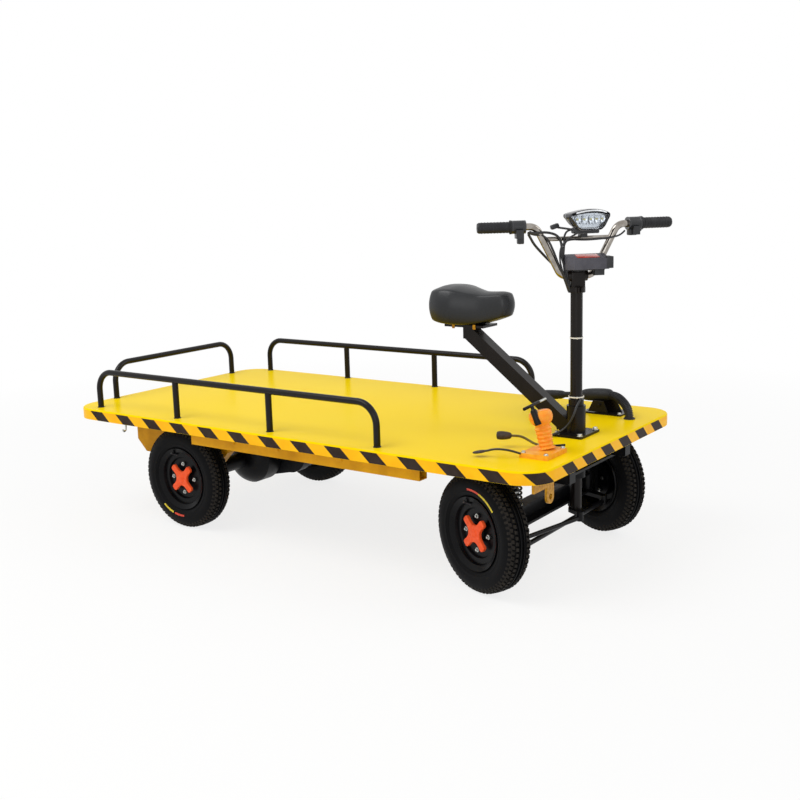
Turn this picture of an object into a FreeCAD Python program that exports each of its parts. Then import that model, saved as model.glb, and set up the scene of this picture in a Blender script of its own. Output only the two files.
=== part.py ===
import FreeCAD, Part
import math
import os
import Sketcher

# Electric platform truck. Millimetres and degrees, +X forward, +Y left, +Z up,
# origin on the ground under the middle of the truck. Heights are above the ground.

os.makedirs("parts", exist_ok=True)
doc = FreeCAD.newDocument("platform_truck")

driving_sizes = {
    # whole truck
    "deck_mid": -40.3,
    "seat_gap": 0.3,
    "pin_gap": 0.3,
    # deck pan
    "deck_length": 2000,
    "deck_width": 1000,
    "deck_top": 430,
    "deck_skirt": 40,
    "deck_sheet": 3,
    "deck_corner": 100,
    "deck_edge": 5,
    "deck_lip": 32,
    # frame under the deck
    "tube_wall": 3,
    "cross_width": 40,
    "cross_inset": 75,
    "cross_end": 70,
    "rail_width": 40,
    "rail_height": 60,
    "rail_place": 200,
    "rail_tail": 60,
    "rail_nose": 50,
    "edge_tube": 40,
    "edge_tube_inset": 45,
    "edge_tube_tail": 615,
    "edge_tube_nose": 414,
    # rear side boxes
    "box_tail": 130,
    "box_nose": 615,
    "box_bottom": 235,
    "box_inside": 268,
    "box_thick": 35,
    "box_wall": 6,
    "box_cut": 45,
    # battery and its cradle
    "battery_tail": 750,
    "battery_length": 520,
    "battery_width": 340,
    "battery_height": 130,
    "strap_width": 60,
    "strap_thick": 5,
    "strap_inset": 70,
    # guard rails
    "guard_tube": 11,
    "guard_height": 137,
    "guard_bend": 70,
    "guard_right_inset": 48,
    "guard_left_inset": 22,
    "guard_rear_inset": 20,
    "stud_radius": 6,
    "stud_drop": 24,
    "nut_radius": 11,
    "nut_height": 8,
    # wheels and axles
    "wheel_radius": 187,
    "tyre_width": 90,
    "bead_radius": 102,
    "flange_radius": 114,
    "tyre_shoulder": 6,
    "bead_half": 27,
    "rim_half": 33,
    "rim_sheet": 4,
    "rim_well": 94,
    "rim_step": 78,
    "rim_dish": 14,
    "hub_radius": 30,
    "drum_back": 20,
    "hub_back": 27,
    "hub_face": 22,
    "star_reach": 64,
    "star_arm": 24,
    "star_thick": 13,
    "cap_radius": 20,
    "cap_length": 18,
    "stub_radius": 11,
    "track_half": 367,
    "rear_axle_place": 469,
    "front_axle_place": 242,
    "kingpin_place": 302,
    "wheel_offset": 65,
    "wheel_turn": 20,
    # rear axle
    "axle_tube": 30,
    "case_radius": 100,
    "case_right": 95,
    "case_left": 46,
    "case_nose": 36,
    "drum_radius": 62,
    "plate_radius": 78,
    "plate_depth": 9,
    "plate_place": 306,
    "perch_half": 32,
    "motor_ahead": 132,
    "motor_height": 206,
    "motor_radius": 74,
    "motor_length": 150,
    "gear_thick": 46,
    "gear_margin": 8,
    # front axle
    "beam_bottom": 155,
    "beam_height": 70,
    "beam_depth": 45,
    "beam_wall": 8,
    "boss_radius": 20,
    "kingpin_radius": 8,
    "spring_perch": 27,
    "perch_thick": 6,
    "spring_mean": 22,
    "spring_wire": 3.5,
    "spring_turns": 5,
    "damper_radius": 14,
    "damper_rod": 6,
    "ear_thick": 12,
    "ear_radius": 17,
    "yoke_inner": 23,
    "yoke_outer": 35,
    "arm_length": 80,
    "arm_end": 13,
    "ball_radius": 12,
    "eye_thick": 18,
    "rod_radius": 8,
    "link_radius": 7,
    # steering column
    "column_place": 135,
    "column_radius": 19,
    "column_top": 898,
    "housing_radius": 30,
    "housing_rise": 94,
    "neck_radius": 24,
    "neck_height": 20,
    "foot_length": 100,
    "foot_width": 130,
    "foot_thick": 8,
    "pitman_length": 38.7,
    "pitman_thick": 12,
    "pitman_boss": 24,
    "carrier_length": 80,
    "carrier_thick": 8,
    "bush_radius": 30,
    "bush_length": 28,
    # handlebar
    "bar_turn": 45,
    "bar_sweep": 6,
    "bar_radius": 11,
    "bar_rise": 153,
    "bar_seat_rise": 34,
    "bar_foot": 45,
    "bar_shoulder": 130,
    "bar_reach": 176,
    "bar_bend": 34,
    "cross_drop": 39,
    "cross_radius": 7,
    "clamp_depth": 44,
    "clamp_width": 64,
    "clamp_cover": 8,
    "collar_radius": 27,
    "collar_height": 18,
    "grip_start": 76,
    "grip_length": 102,
    "grip_radius": 16.5,
    "grip_flange": 21,
    "switch_start": 34,
    "switch_length": 38,
    "switch_radius": 20,
    "lamp_width": 160,
    "lamp_height": 72,
    "lamp_depth": 56,
    "lamp_back": 22,
    "lamp_rise": 28,
    "lamp_corner": 26,
    "lens_inset": 5,
    "lens_thick": 8,
    "meter_width": 136,
    "meter_height": 46,
    "meter_depth": 42,
    "meter_back": 13,
    # saddle
    "arm_tube": 45,
    "arm_rise": 38,
    "arm_foot": 457,
    "arm_reach": 472,
    "arm_sunk": 25,
    "cope_gap": 0.1,
    "saddle_rise": 334,
    "saddle_behind": 536,
    "saddle_length": 314,
    "saddle_wide": 100,
    "saddle_narrow": 34,
    "saddle_rear_thick": 132,
    "saddle_dip_thick": 106,
    "saddle_nose_thick": 112,
    "saddle_nose_lift": 36,
    "post_behind": 387,
    "post_size": 38,
    "plate_length": 150,
    "plate_width": 90,
    "plate_thick": 8,
    # foot controls on the right
    "pedal_plate_place": 144,
    "pedal_plate_length": 92,
    "pedal_plate_right": 350,
    "pedal_plate_left": 228,
    "pedal_plate_thick": 14,
    "lever_lean": 20,
    "lever_radius": 19,
    "lever_sole": 14,
    "lever_height": 112,
    "lever_place": 262,
    "boot_taper": 1.5,
    "boot_groove": 3.5,
    "handle_stem": 22,
    "handle_radius": 6,
    "handle_half": 26,
    "pedal_rod": 6,
    "pedal_rubber": 15,
    "pedal_rubber_length": 56,
    "pedal_lift": 28,
    "pedal_inset": 14,
    "pedal_reach": 92,
    "pad_place": 385,
    "pad_bar": 110,
    "pad_rise": 10,
    "pad_width": 34,
    "pad_thick": 5,
    # parking brake on the left
    "brake_place": 264,
    "brake_length": 145,
    "brake_right": 302,
    "brake_width": 92,
    "brake_thick": 5,
    "brake_lever_rise": 48,
    "brake_lever_radius": 10,
    "brake_grip_radius": 15,
    "brake_lever_place": 440,
    "brake_lever_length": 290,
    "brake_grip_length": 115,
    "brake_house_length": 90,
    # front bracket
    "tow_place": 54,
    "tow_side": 188,
    "tow_width": 120,
    "tow_thick": 8,
    "tow_drop": 38,
    "tow_tongue": 42,
    "tow_tip_drop": 90,
    "tow_hole": 9,
    # wiring
    "cable_radius": 4,
}

sheet = doc.addObject("Spreadsheet::Sheet", "Sizes")
for row, (alias, number) in enumerate(driving_sizes.items(), start=1):
    sheet.set(f"A{row}", alias)
    sheet.set(f"B{row}", str(number))
    sheet.setAlias(f"B{row}", alias)
doc.recompute()


class Size:
    """A length or angle, known as a number and as the sheet formula that gives it."""

    def __init__(self, text, number):
        self.text = text
        self.number = number

    def __add__(self, other):
        other = as_size(other)
        return Size(f"({self.text} + {other.text})", self.number + other.number)

    def __radd__(self, other):
        return as_size(other) + self

    def __sub__(self, other):
        other = as_size(other)
        return Size(f"({self.text} - {other.text})", self.number - other.number)

    def __rsub__(self, other):
        return as_size(other) - self

    def __mul__(self, other):
        other = as_size(other)
        return Size(f"({self.text} * {other.text})", self.number * other.number)

    def __rmul__(self, other):
        return self * other

    def __truediv__(self, other):
        other = as_size(other)
        return Size(f"({self.text} / {other.text})", self.number / other.number)

    def __neg__(self):
        return self * -1


def as_size(value):
    return value if isinstance(value, Size) else Size(f"({value})", float(value))


def low_to_high(*values):
    return tuple(sorted((as_size(value) for value in values), key=lambda size: size.number))


def sine(angle):
    return Size(f"sin({angle.text})", math.sin(math.radians(angle.number)))


def cosine(angle):
    return Size(f"cos({angle.text})", math.cos(math.radians(angle.number)))


class Sheet:
    """The driving sizes by name."""


d = Sheet()
for alias in driving_sizes:
    setattr(d, alias, Size("Sizes." + alias, float(getattr(sheet, alias))))


# Document objects bound to the sheet

def bind(thing, **lengths):
    for name, length in lengths.items():
        length = as_size(length)
        setattr(thing, name, length.number)
        thing.setExpression(name, length.text)
    return thing


def place(thing, x=0, y=0, z=0, axis=(0, 0, 1), angle=None):
    """Put a thing at x, y, z, turned by a positive angle about an axis through its origin."""
    turn = FreeCAD.Rotation()
    if angle is not None:
        turn = FreeCAD.Rotation(FreeCAD.Vector(*axis), as_size(angle).number)
    spot = [as_size(value) for value in (x, y, z)]
    thing.Placement = FreeCAD.Placement(FreeCAD.Vector(*[value.number for value in spot]), turn)
    for way, value in zip("xyz", spot):
        thing.setExpression("Placement.Base." + way, value.text)
    if isinstance(angle, Size):
        thing.setExpression("Placement.Rotation.Angle", angle.text)
    return thing


def block(name, x, y, z):
    """A box between a low and a high value along each axis."""
    thing = doc.addObject("Part::Box", name)
    bind(thing, Length=x[1] - x[0], Width=y[1] - y[0], Height=z[1] - z[0])
    return place(thing, x[0], y[0], z[0])


def cylinder(name, radius, x, y, z):
    """A cylinder along the one axis that is given as a low and a high value."""
    thing = doc.addObject("Part::Cylinder", name)
    spans = {"x": x, "y": y, "z": z}
    along = [way for way, span in spans.items() if isinstance(span, tuple)][0]
    low, high = spans[along]
    spans[along] = low
    bind(thing, Radius=radius, Height=high - low)
    turns = {"x": ((0, 1, 0), 90), "y": ((-1, 0, 0), 90), "z": ((0, 0, 1), None)}
    axis, angle = turns[along]
    return place(thing, spans["x"], spans["y"], spans["z"], axis, angle)


def fuse(name, *things):
    whole = doc.addObject("Part::MultiFuse", name)
    whole.Shapes = list(things)
    return whole


def cut(name, base, tool):
    left = doc.addObject("Part::Cut", name)
    left.Base = base
    left.Tool = tool
    return left


def group(name, *things):
    """Like pieces that don't touch, kept as one node."""
    kept = doc.addObject("Part::Compound", name)
    kept.Links = list(things)
    return kept


def ring(name, radius, bore, x, y, z):
    outside = cylinder(name + "_outside", radius, x, y, z)
    inside = cylinder(name + "_bore", bore, x, y, z)
    return cut(name, outside, inside)


def square_tube(name, along, x, y, z, wall):
    """A hollow rectangular tube, open at both ends of its long axis."""
    outside = block(name + "_outside", x, y, z)
    spans = {"x": x, "y": y, "z": z}
    inner = {way: span if way == along else (span[0] + wall, span[1] - wall) for way, span in spans.items()}
    inside = block(name + "_inside", inner["x"], inner["y"], inner["z"])
    return cut(name, outside, inside)


def new_body(name):
    return doc.addObject("PartDesign::Body", name)


def sketch_on(body, name, plane, offset=0):
    """A sketch on one of the body's own planes, moved along that plane's normal."""
    sketch = body.newObject("Sketcher::SketchObject", name)
    for feature in body.Origin.OriginFeatures:
        if feature.Role == plane:
            sketch.AttachmentSupport = [(feature, "")]
    sketch.MapMode = "FlatFace"
    sketch.AttachmentOffset = FreeCAD.Placement(FreeCAD.Vector(0, 0, as_size(offset).number), FreeCAD.Rotation())
    sketch.setExpression("AttachmentOffset.Base.z", as_size(offset).text)
    return sketch


def pin_point(sketch, geometry, spot, x, y):
    """Hold one end of a line or arc at sheet-driven coordinates."""
    for kind, value in (("DistanceX", as_size(x)), ("DistanceY", as_size(y))):
        number = sketch.addConstraint(Sketcher.Constraint(kind, -1, 1, geometry, spot, value.number))
        sketch.setExpression(f"Constraints[{number}]", value.text)


def outline(sketch, corners):
    """Close a loop through corners (x, y) or (x, y, radius): with a radius the stretch that
    arrives at the corner is an arc, anticlockwise for a positive radius, else clockwise."""
    ends = []
    for index, corner in enumerate(corners):
        before = corners[index - 1]
        start = FreeCAD.Vector(as_size(before[0]).number, as_size(before[1]).number, 0)
        finish = FreeCAD.Vector(as_size(corner[0]).number, as_size(corner[1]).number, 0)
        if len(corner) == 2:
            sketch.addGeometry(Part.LineSegment(start, finish), False)
            ends.append((index, 1, 2))
            continue
        radius = as_size(corner[2])
        chord = finish - start
        side = 1 if radius.number > 0 else -1
        rise = math.sqrt(max(radius.number ** 2 - (chord.Length / 2) ** 2, 0))
        half_turn = rise < 0.01
        normal = FreeCAD.Vector(-chord.y, chord.x, 0).normalize()
        centre = (start + finish) / 2 + normal * (rise * side)
        first, last = (start, finish) if side > 0 else (finish, start)
        angles = [math.atan2(point.y - centre.y, point.x - centre.x) for point in (first, last)]
        circle = Part.Circle(centre, FreeCAD.Vector(0, 0, 1), abs(radius.number))
        sketch.addGeometry(Part.ArcOfCircle(circle, angles[0], angles[1]), False)
        ends.append((index, 1, 2) if side > 0 else (index, 2, 1))
        if half_turn:
            # a half turn is held by its centre, level with its two ends
            way = 0 if abs(chord.x) < abs(chord.y) else 1
            middle = (as_size(before[way]) + as_size(corner[way])) / 2
            kind = ("DistanceX", "DistanceY")[way]
            number = sketch.addConstraint(Sketcher.Constraint(kind, -1, 1, index, 3, middle.number))
            sketch.setExpression(f"Constraints[{number}]", middle.text)
            continue
        number = sketch.addConstraint(Sketcher.Constraint("Radius", index, abs(radius.number)))
        sketch.setExpression(f"Constraints[{number}]", (radius * side).text)
    for index, corner in enumerate(corners):
        geometry, tail, head = ends[index]
        following, next_tail, next_head = ends[(index + 1) % len(corners)]
        sketch.addConstraint(Sketcher.Constraint("Coincident", geometry, head, following, next_tail))
        pin_point(sketch, geometry, head, corner[0], corner[1])
    return sketch


def circle(sketch, x, y, radius):
    x, y, radius = as_size(x), as_size(y), as_size(radius)
    spot = FreeCAD.Vector(x.number, y.number, 0)
    index = sketch.addGeometry(Part.Circle(spot, FreeCAD.Vector(0, 0, 1), radius.number), False)
    number = sketch.addConstraint(Sketcher.Constraint("Radius", index, radius.number))
    sketch.setExpression(f"Constraints[{number}]", radius.text)
    pin_point(sketch, index, 3, x, y)
    return sketch


def rectangle(sketch, x, y):
    return outline(sketch, [(x[0], y[0]), (x[1], y[0]), (x[1], y[1]), (x[0], y[1])])


def pad(body, sketch, length, back=False):
    feature = body.newObject("PartDesign::Pad", sketch.Name + "_pad")
    feature.Profile = sketch
    feature.Reversed = back
    return bind(feature, Length=length)


def pocket(body, sketch, length, back=False):
    """Cut the sketch away; the volume must fall, or the cut pointed into the air."""
    doc.recompute()
    before = body.Shape.Volume
    feature = body.newObject("PartDesign::Pocket", sketch.Name + "_pocket")
    feature.Profile = sketch
    feature.Reversed = back
    bind(feature, Length=length)
    doc.recompute()
    if not body.Shape.Volume < before:
        raise RuntimeError(sketch.Name + " cuts nothing")
    return feature


def revolve(body, sketch):
    feature = body.newObject("PartDesign::Revolution", sketch.Name + "_turned")
    feature.Profile = sketch
    feature.ReferenceAxis = (sketch, ["V_Axis"])
    feature.Angle = 360
    return feature


def round_edges(body, radius, wanted):
    """Fillet the edges of the body's last feature for which wanted(edge) is true."""
    doc.recompute()
    base = body.Tip
    names = [f"Edge{number}" for number, edge in enumerate(base.Shape.Edges, start=1) if wanted(edge)]
    feature = body.newObject("PartDesign::Fillet", body.Name + "_rounding")
    feature.Base = (base, names)
    return bind(feature, Radius=radius)


def runs_along(edge, way):
    """True for a straight edge parallel to x, y or z."""
    if edge.Curve.TypeId != "Part::GeomLine":
        return False
    step = edge.Vertexes[-1].Point - edge.Vertexes[0].Point
    return abs(getattr(step, way)) > 0.999 * step.Length


def bent_wire(points, bends):
    """Straight runs between points, joined by tangent arcs of the given radii."""
    edges = []
    last = points[0]
    for before, corner, after, radius in zip(points, points[1:], points[2:], bends):
        inward = (corner - before).normalize()
        outward = (after - corner).normalize()
        half = inward.getAngle(outward) / 2
        trim = radius * math.tan(half)
        start = corner - inward * trim
        finish = corner + outward * trim
        middle_way = (outward - inward).normalize()
        middle = corner + middle_way * (radius / math.cos(half) - radius)
        if (start - last).Length > 1e-6:
            edges.append(Part.LineSegment(last, start).toShape())
        edges.append(Part.Arc(start, middle, finish).toShape())
        last = finish
    edges.append(Part.LineSegment(last, points[-1]).toShape())
    return Part.Wire(edges)


def bent_rod(path, radius):
    """A round rod along a wire, with its volume compared with section times length."""
    first = path.Edges[0]
    start = first.Vertexes[0].Point
    direction = first.tangentAt(first.FirstParameter)
    section = Part.Wire(Part.Circle(start, direction, radius).toShape())
    rod = path.makePipeShell([section], True, False)
    wanted = math.pi * radius ** 2 * path.Length
    if abs(rod.Volume - wanted) > 0.02 * wanted:
        raise RuntimeError("a rod's volume differs from its section times its length")
    return rod


# Places shared by the sub-parts

deck_under = d.deck_top - d.deck_sheet
skirt_bottom = d.deck_top - d.deck_skirt
cross_bottom = deck_under - d.cross_width
rail_bottom = cross_bottom - d.rail_height
guard_top = d.deck_top + d.guard_height
tail_x = d.deck_mid - d.deck_length / 2
nose_x = d.deck_mid + d.deck_length / 2
column_x = nose_x - d.column_place
front_x = nose_x - d.front_axle_place
rear_x = tail_x + d.rear_axle_place
housing_top = d.deck_top + d.housing_rise
bar_seat = d.column_top + d.bar_seat_rise
bar_height = bar_seat + d.bar_rise
saddle_bottom = d.deck_top + d.saddle_rise
beam_top = d.beam_bottom + d.beam_height
bead_seat = d.bead_radius - d.seat_gap


guard_posts = {
    # side: how far each post stands forward of the deck's tail, in mm
    "right": (111, 526, 969, 1414),
    "left": (125, 563, 1006, 1445),
}
rear_posts = (-301, 341)
guard_line = {
    "right": d.guard_right_inset - d.deck_width / 2,
    "left": d.deck_width / 2 - d.guard_left_inset,
}
cross_count = 7


def post_spots():
    """Where every guard post's stud passes through the deck."""
    spots = [(tail_x + x, guard_line["right"]) for x in guard_posts["right"]]
    spots += [(tail_x + x, guard_line["left"]) for x in guard_posts["left"]]
    return spots + [(tail_x + d.guard_rear_inset, as_size(y)) for y in rear_posts]


# Deck

def make_deck():
    body = new_body("deck_pan")
    half_length = d.deck_length / 2
    half_width = d.deck_width / 2
    plan = sketch_on(body, "deck_plan", "XY_Plane", skirt_bottom)
    rectangle(plan, (tail_x, nose_x), (-half_width, half_width))
    pad(body, plan, d.deck_skirt)
    round_edges(body, d.deck_corner, lambda edge: runs_along(edge, "z"))
    top = d.deck_top.number - 0.01
    round_edges(body, d.deck_edge, lambda edge: edge.BoundBox.ZMin > top)
    for name, inset, low, depth in (
        ("deck_mouth", d.deck_lip, skirt_bottom, d.deck_skirt - d.deck_sheet),
        ("deck_hollow", d.deck_sheet, skirt_bottom + d.deck_sheet, d.deck_skirt - d.deck_sheet * 2),
    ):
        corner = d.deck_corner - inset
        right, left = -half_width + inset, half_width - inset
        tail, nose = tail_x + inset, nose_x - inset
        inside = sketch_on(body, name, "XY_Plane", low)
        outline(inside, [
            (nose - corner, right), (nose, right + corner, corner), (nose, left - corner),
            (nose - corner, left, corner), (tail + corner, left), (tail, left - corner, corner),
            (tail, right + corner), (tail + corner, right, corner),
        ])
        pocket(body, inside, depth, back=True)
    holes = sketch_on(body, "deck_holes", "XY_Plane", d.deck_top)
    for x, y in post_spots():
        circle(holes, x, y, d.stud_radius + d.pin_gap)
    circle(holes, column_x, 0, d.column_radius + d.pin_gap)
    pocket(body, holes, d.deck_sheet + 1)
    return body


def make_crossmembers():
    tubes = []
    reach = d.deck_width / 2 - d.cross_inset
    for index in range(cross_count):
        middle = tail_x + d.cross_end + (d.deck_length - d.cross_end * 2) * (index / (cross_count - 1))
        span = (middle - d.cross_width / 2, middle + d.cross_width / 2)
        tubes.append(square_tube(f"cross_{index}", "y", span, (-reach, reach),
                                 (cross_bottom, deck_under), d.tube_wall))
    return group("crossmembers", *tubes)


def make_main_rails():
    tubes = []
    for side in (-1, 1):
        middle = d.rail_place * side
        tubes.append(square_tube(f"rail_{side + 1}", "x", (tail_x + d.rail_tail, nose_x - d.rail_nose),
                                 (middle - d.rail_width / 2, middle + d.rail_width / 2),
                                 (rail_bottom, cross_bottom), d.tube_wall))
    return group("main_rails", *tubes)


def make_edge_tubes():
    tubes = []
    for side in (-1, 1):
        middle = (d.deck_width / 2 - d.edge_tube_inset) * side
        tubes.append(square_tube(f"edge_{side + 1}", "x", (tail_x + d.edge_tube_tail, nose_x - d.edge_tube_nose),
                                 (middle - d.edge_tube / 2, middle + d.edge_tube / 2),
                                 (skirt_bottom - d.edge_tube, skirt_bottom), d.tube_wall))
    return group("edge_tubes", *tubes)


def make_rear_box(name, side):
    """A deep side box that carries the rear axle, open towards the middle of the truck."""
    body = new_body(name)
    inner = d.box_inside * side
    profile = sketch_on(body, name + "_profile", "XZ_Plane", -inner)
    tail, nose = tail_x + d.box_tail, tail_x + d.box_nose
    outline(profile, [
        (tail + d.box_cut, d.box_bottom), (nose - d.box_cut, d.box_bottom), (nose, d.box_bottom + d.box_cut),
        (nose, cross_bottom), (tail, cross_bottom), (tail, d.box_bottom + d.box_cut),
    ])
    pad(body, profile, d.box_thick, back=side > 0)
    wall = d.box_wall
    inside = sketch_on(body, name + "_hollow", "XZ_Plane", -inner)
    outline(inside, [
        (tail + d.box_cut, d.box_bottom + wall), (nose - d.box_cut, d.box_bottom + wall),
        (nose - wall, d.box_bottom + d.box_cut), (nose - wall, cross_bottom - wall),
        (tail + wall, cross_bottom - wall), (tail + wall, d.box_bottom + d.box_cut),
    ])
    pocket(body, inside, d.box_thick - wall, back=side < 0)
    return body


def make_battery():
    tail = tail_x + d.battery_tail
    top = cross_bottom - d.seat_gap
    return block("battery_box", (tail, tail + d.battery_length), (-d.battery_width / 2, d.battery_width / 2),
                 (top - d.battery_height, top))


def make_battery_cradle():
    """Two folded straps that hang from the rails and hold the battery."""
    straps = []
    floor = cross_bottom - d.seat_gap * 2 - d.battery_height
    wall = d.battery_width / 2 + d.seat_gap
    thick = d.strap_thick
    reach = d.rail_place + d.rail_width / 2
    last = d.battery_length - d.strap_inset - d.strap_width
    for index, start in enumerate((d.strap_inset, last)):
        body = new_body(f"strap_{index}")
        fold = sketch_on(body, f"strap_fold_{index}", "YZ_Plane", tail_x + d.battery_tail + start)
        outline(fold, [
            (-wall - thick, floor - thick), (wall + thick, floor - thick), (wall + thick, rail_bottom - thick),
            (reach, rail_bottom - thick), (reach, rail_bottom), (wall, rail_bottom), (wall, floor),
            (-wall, floor), (-wall, rail_bottom), (-reach, rail_bottom), (-reach, rail_bottom - thick),
            (-wall - thick, rail_bottom - thick),
        ])
        pad(body, fold, d.strap_width)
        straps.append(body)
    return group("battery_cradle", *straps)


# Guard rails

def stud_and_nut(name, x, y):
    """The threaded end below a post, with its washer and nut drawn up under the deck."""
    stud = cylinder(name + "_stud", d.stud_radius, x, y, (deck_under - d.stud_drop, d.deck_top))
    nut = cylinder(name + "_nut", d.nut_radius, x, y, (deck_under - d.nut_height, deck_under))
    return [stud, nut]


def make_guard(name, posts, run, fixed):
    """A top tube with bent ends on a row of posts. run is the axis that it follows."""
    low, high = posts[0], posts[-1]
    pieces = []
    top_span = (low + d.guard_bend, high - d.guard_bend)
    bend_height = guard_top - d.guard_bend
    for index, spot in enumerate(posts):
        x, y = (spot, fixed) if run == "x" else (fixed, spot)
        inner = 0 < index < len(posts) - 1
        pieces.append(cylinder(f"{name}_post_{index}", d.guard_tube, x, y,
                               (d.deck_top, guard_top if inner else bend_height)))
        pieces += stud_and_nut(f"{name}_{index}", x, y)
    x, y = (top_span, fixed) if run == "x" else (fixed, top_span)
    pieces.append(cylinder(f"{name}_top", d.guard_tube, x, y, guard_top))
    for index, (centre, turn) in enumerate(((low + d.guard_bend, 1), (high - d.guard_bend, 0))):
        bend = doc.addObject("Part::Torus", f"{name}_bend_{index}")
        bind(bend, Radius1=d.guard_bend, Radius2=d.guard_tube)
        bend.Angle3 = 90
        x, y = (centre, fixed) if run == "x" else (fixed, centre)
        place(bend, x, y, bend_height)
        # the torus lies in its own XY plane: its X goes outward and its Y goes up
        outward = FreeCAD.Vector(1, 0, 0) if run == "x" else FreeCAD.Vector(0, 1, 0)
        if turn:
            outward = outward * -1
        up = FreeCAD.Vector(0, 0, 1)
        bend.Placement = FreeCAD.Placement(bend.Placement.Base,
                                           FreeCAD.Rotation(outward, up, outward.cross(up), "XYZ"))
        pieces.append(bend)
    return fuse(name, *pieces)


def make_guards():
    right = [tail_x + x for x in guard_posts["right"]]
    left = [tail_x + x for x in guard_posts["left"]]
    rear = [as_size(y) for y in rear_posts]
    return [
        make_guard("guard_right", right, "x", guard_line["right"]),
        make_guard("guard_left", left, "x", guard_line["left"]),
        make_guard("guard_rear", rear, "y", tail_x + d.guard_rear_inset),
    ]


# Wheels. Each is drawn upright on its own axis, with +Y pointing away from the truck

def wheel_sections(name):
    """Tyre, rim and hub of one wheel."""
    half = d.tyre_width / 2
    tyre = new_body("tyre_" + name)
    section = sketch_on(tyre, f"tyre_section_{name}", "XY_Plane")
    seat = d.flange_radius + d.seat_gap
    shoulder = d.wheel_radius - d.tyre_shoulder
    outline(section, [
        (seat, -half), (seat, half), (shoulder, half), (d.wheel_radius, half - d.tyre_shoulder),
        (d.wheel_radius, d.tyre_shoulder - half), (shoulder, -half),
    ])
    revolve(tyre, section)
    rim = new_body("rim_" + name)
    sheet_thick = d.rim_sheet
    lip = d.rim_half + sheet_thick
    step = d.rim_step
    profile = sketch_on(rim, f"rim_profile_{name}", "XY_Plane")
    outline(profile, [
        (bead_seat, -d.bead_half + 1), (bead_seat, d.bead_half - 1), (d.flange_radius, d.rim_half + 4),
        (d.flange_radius, lip + 4), (bead_seat - sheet_thick, d.rim_half - 2),
        (d.rim_well, d.rim_dish + 8), (step, d.rim_dish + 8), (step - 4, d.rim_dish),
        (d.hub_radius + d.seat_gap, d.rim_dish), (d.hub_radius + d.seat_gap, -d.drum_back),
        (d.drum_radius, -d.drum_back), (d.drum_radius, d.rim_dish - sheet_thick),
        (step, d.rim_dish - sheet_thick), (step + 4, d.rim_dish + 4), (d.rim_well, d.rim_dish + 4),
        (d.rim_well, -d.rim_half + 5), (d.flange_radius - 3, -lip - 4), (d.flange_radius, -d.rim_half - 4),
    ])
    revolve(rim, profile)
    hub = new_body("hub_" + name)
    turned = sketch_on(hub, f"hub_profile_{name}", "XY_Plane")
    bore = d.stub_radius + d.pin_gap
    face = d.hub_face
    outline(turned, [
        (d.hub_radius, -d.hub_back), (d.hub_radius, face),
        (d.cap_radius + 6, face + d.star_thick), (d.cap_radius, face + d.star_thick),
        (d.cap_radius, face + d.cap_length), (d.cap_radius - 5, face + d.cap_length + 4),
        (0, face + d.cap_length + 4), (0, -d.hub_back),
    ])
    revolve(hub, turned)
    arm_half = d.star_arm / 2
    reach = d.star_reach
    root = d.hub_radius - 8
    # two crossed bars, laid on the hub's face: an arm's tip is tapered and a little rounded
    star = sketch_on(hub, f"star_plan_{name}", "XZ_Plane", -d.rim_dish - 1)
    tip = arm_half * 0.7
    slant = 0.7071
    corners = []
    for turn in range(4):
        angle = math.radians(45 + 90 * turn)
        ways = (math.cos(angle), math.sin(angle))
        for out, aside in ((root, -arm_half), (reach, -tip), (reach, tip), (root, arm_half)):
            corners.append((out * ways[0] - aside * ways[1], out * ways[1] + aside * ways[0]))
    outline(star, corners)
    pad(hub, star, d.star_thick, back=True)
    drilled = sketch_on(hub, f"hub_bore_{name}", "XZ_Plane", d.hub_back)
    circle(drilled, 0, 0, bore)
    pocket(hub, drilled, d.hub_back + face + 6)
    return tyre, rim, hub


def make_wheel(name, side, steered):
    """A wheel's three nodes, put on its axle; a steered one stands turned about its kingpin."""
    bodies = wheel_sections(name)
    for body in bodies:
        if not steered:
            if side > 0:
                place(body, rear_x, d.track_half, d.wheel_radius)
            else:
                place(body, rear_x, -d.track_half, d.wheel_radius, (0, 0, 1), 180)
        else:
            aside = d.wheel_offset * side
            x = front_x + aside * sine(d.wheel_turn)
            y = d.kingpin_place * side + aside * cosine(d.wheel_turn)
            if side > 0:
                place(body, x, y, d.wheel_radius, (0, 0, -1), d.wheel_turn)
            else:
                place(body, x, y, d.wheel_radius, (0, 0, 1), 180 - d.wheel_turn)
    return bodies


# Rear axle and drive

def make_rear_axle():
    """Axle tube, differential case, brake plates and stub axles in one turned piece."""
    body = new_body("rear_axle_housing")
    profile = sketch_on(body, "rear_axle_profile", "XY_Plane")
    tip = d.track_half + d.hub_face + 4
    plate = d.plate_place
    outline(profile, [
        (0, -tip), (d.stub_radius, -tip), (d.stub_radius, -plate - d.plate_depth),
        (d.plate_radius, -plate - d.plate_depth), (d.plate_radius, -plate), (d.axle_tube, -plate),
        (d.axle_tube, -d.case_right), (d.case_radius, -d.case_nose, d.case_radius),
        (d.case_radius, d.case_nose - 6), (d.axle_tube + 42, d.case_left), (d.axle_tube, d.case_left),
        (d.axle_tube, plate), (d.plate_radius, plate), (d.plate_radius, plate + d.plate_depth),
        (d.stub_radius, plate + d.plate_depth), (d.stub_radius, tip), (0, tip),
    ])
    revolve(body, profile)
    place(body, rear_x, 0, d.wheel_radius)
    perches = []
    for side in (-1, 1):
        span = low_to_high(d.box_inside * side, (d.box_inside + d.box_thick) * side)
        perches.append(block(f"axle_perch_{side + 1}", (rear_x - d.perch_half, rear_x + d.perch_half),
                             span, (d.wheel_radius, d.box_bottom)))
    return fuse("rear_axle", body, *perches)


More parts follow.
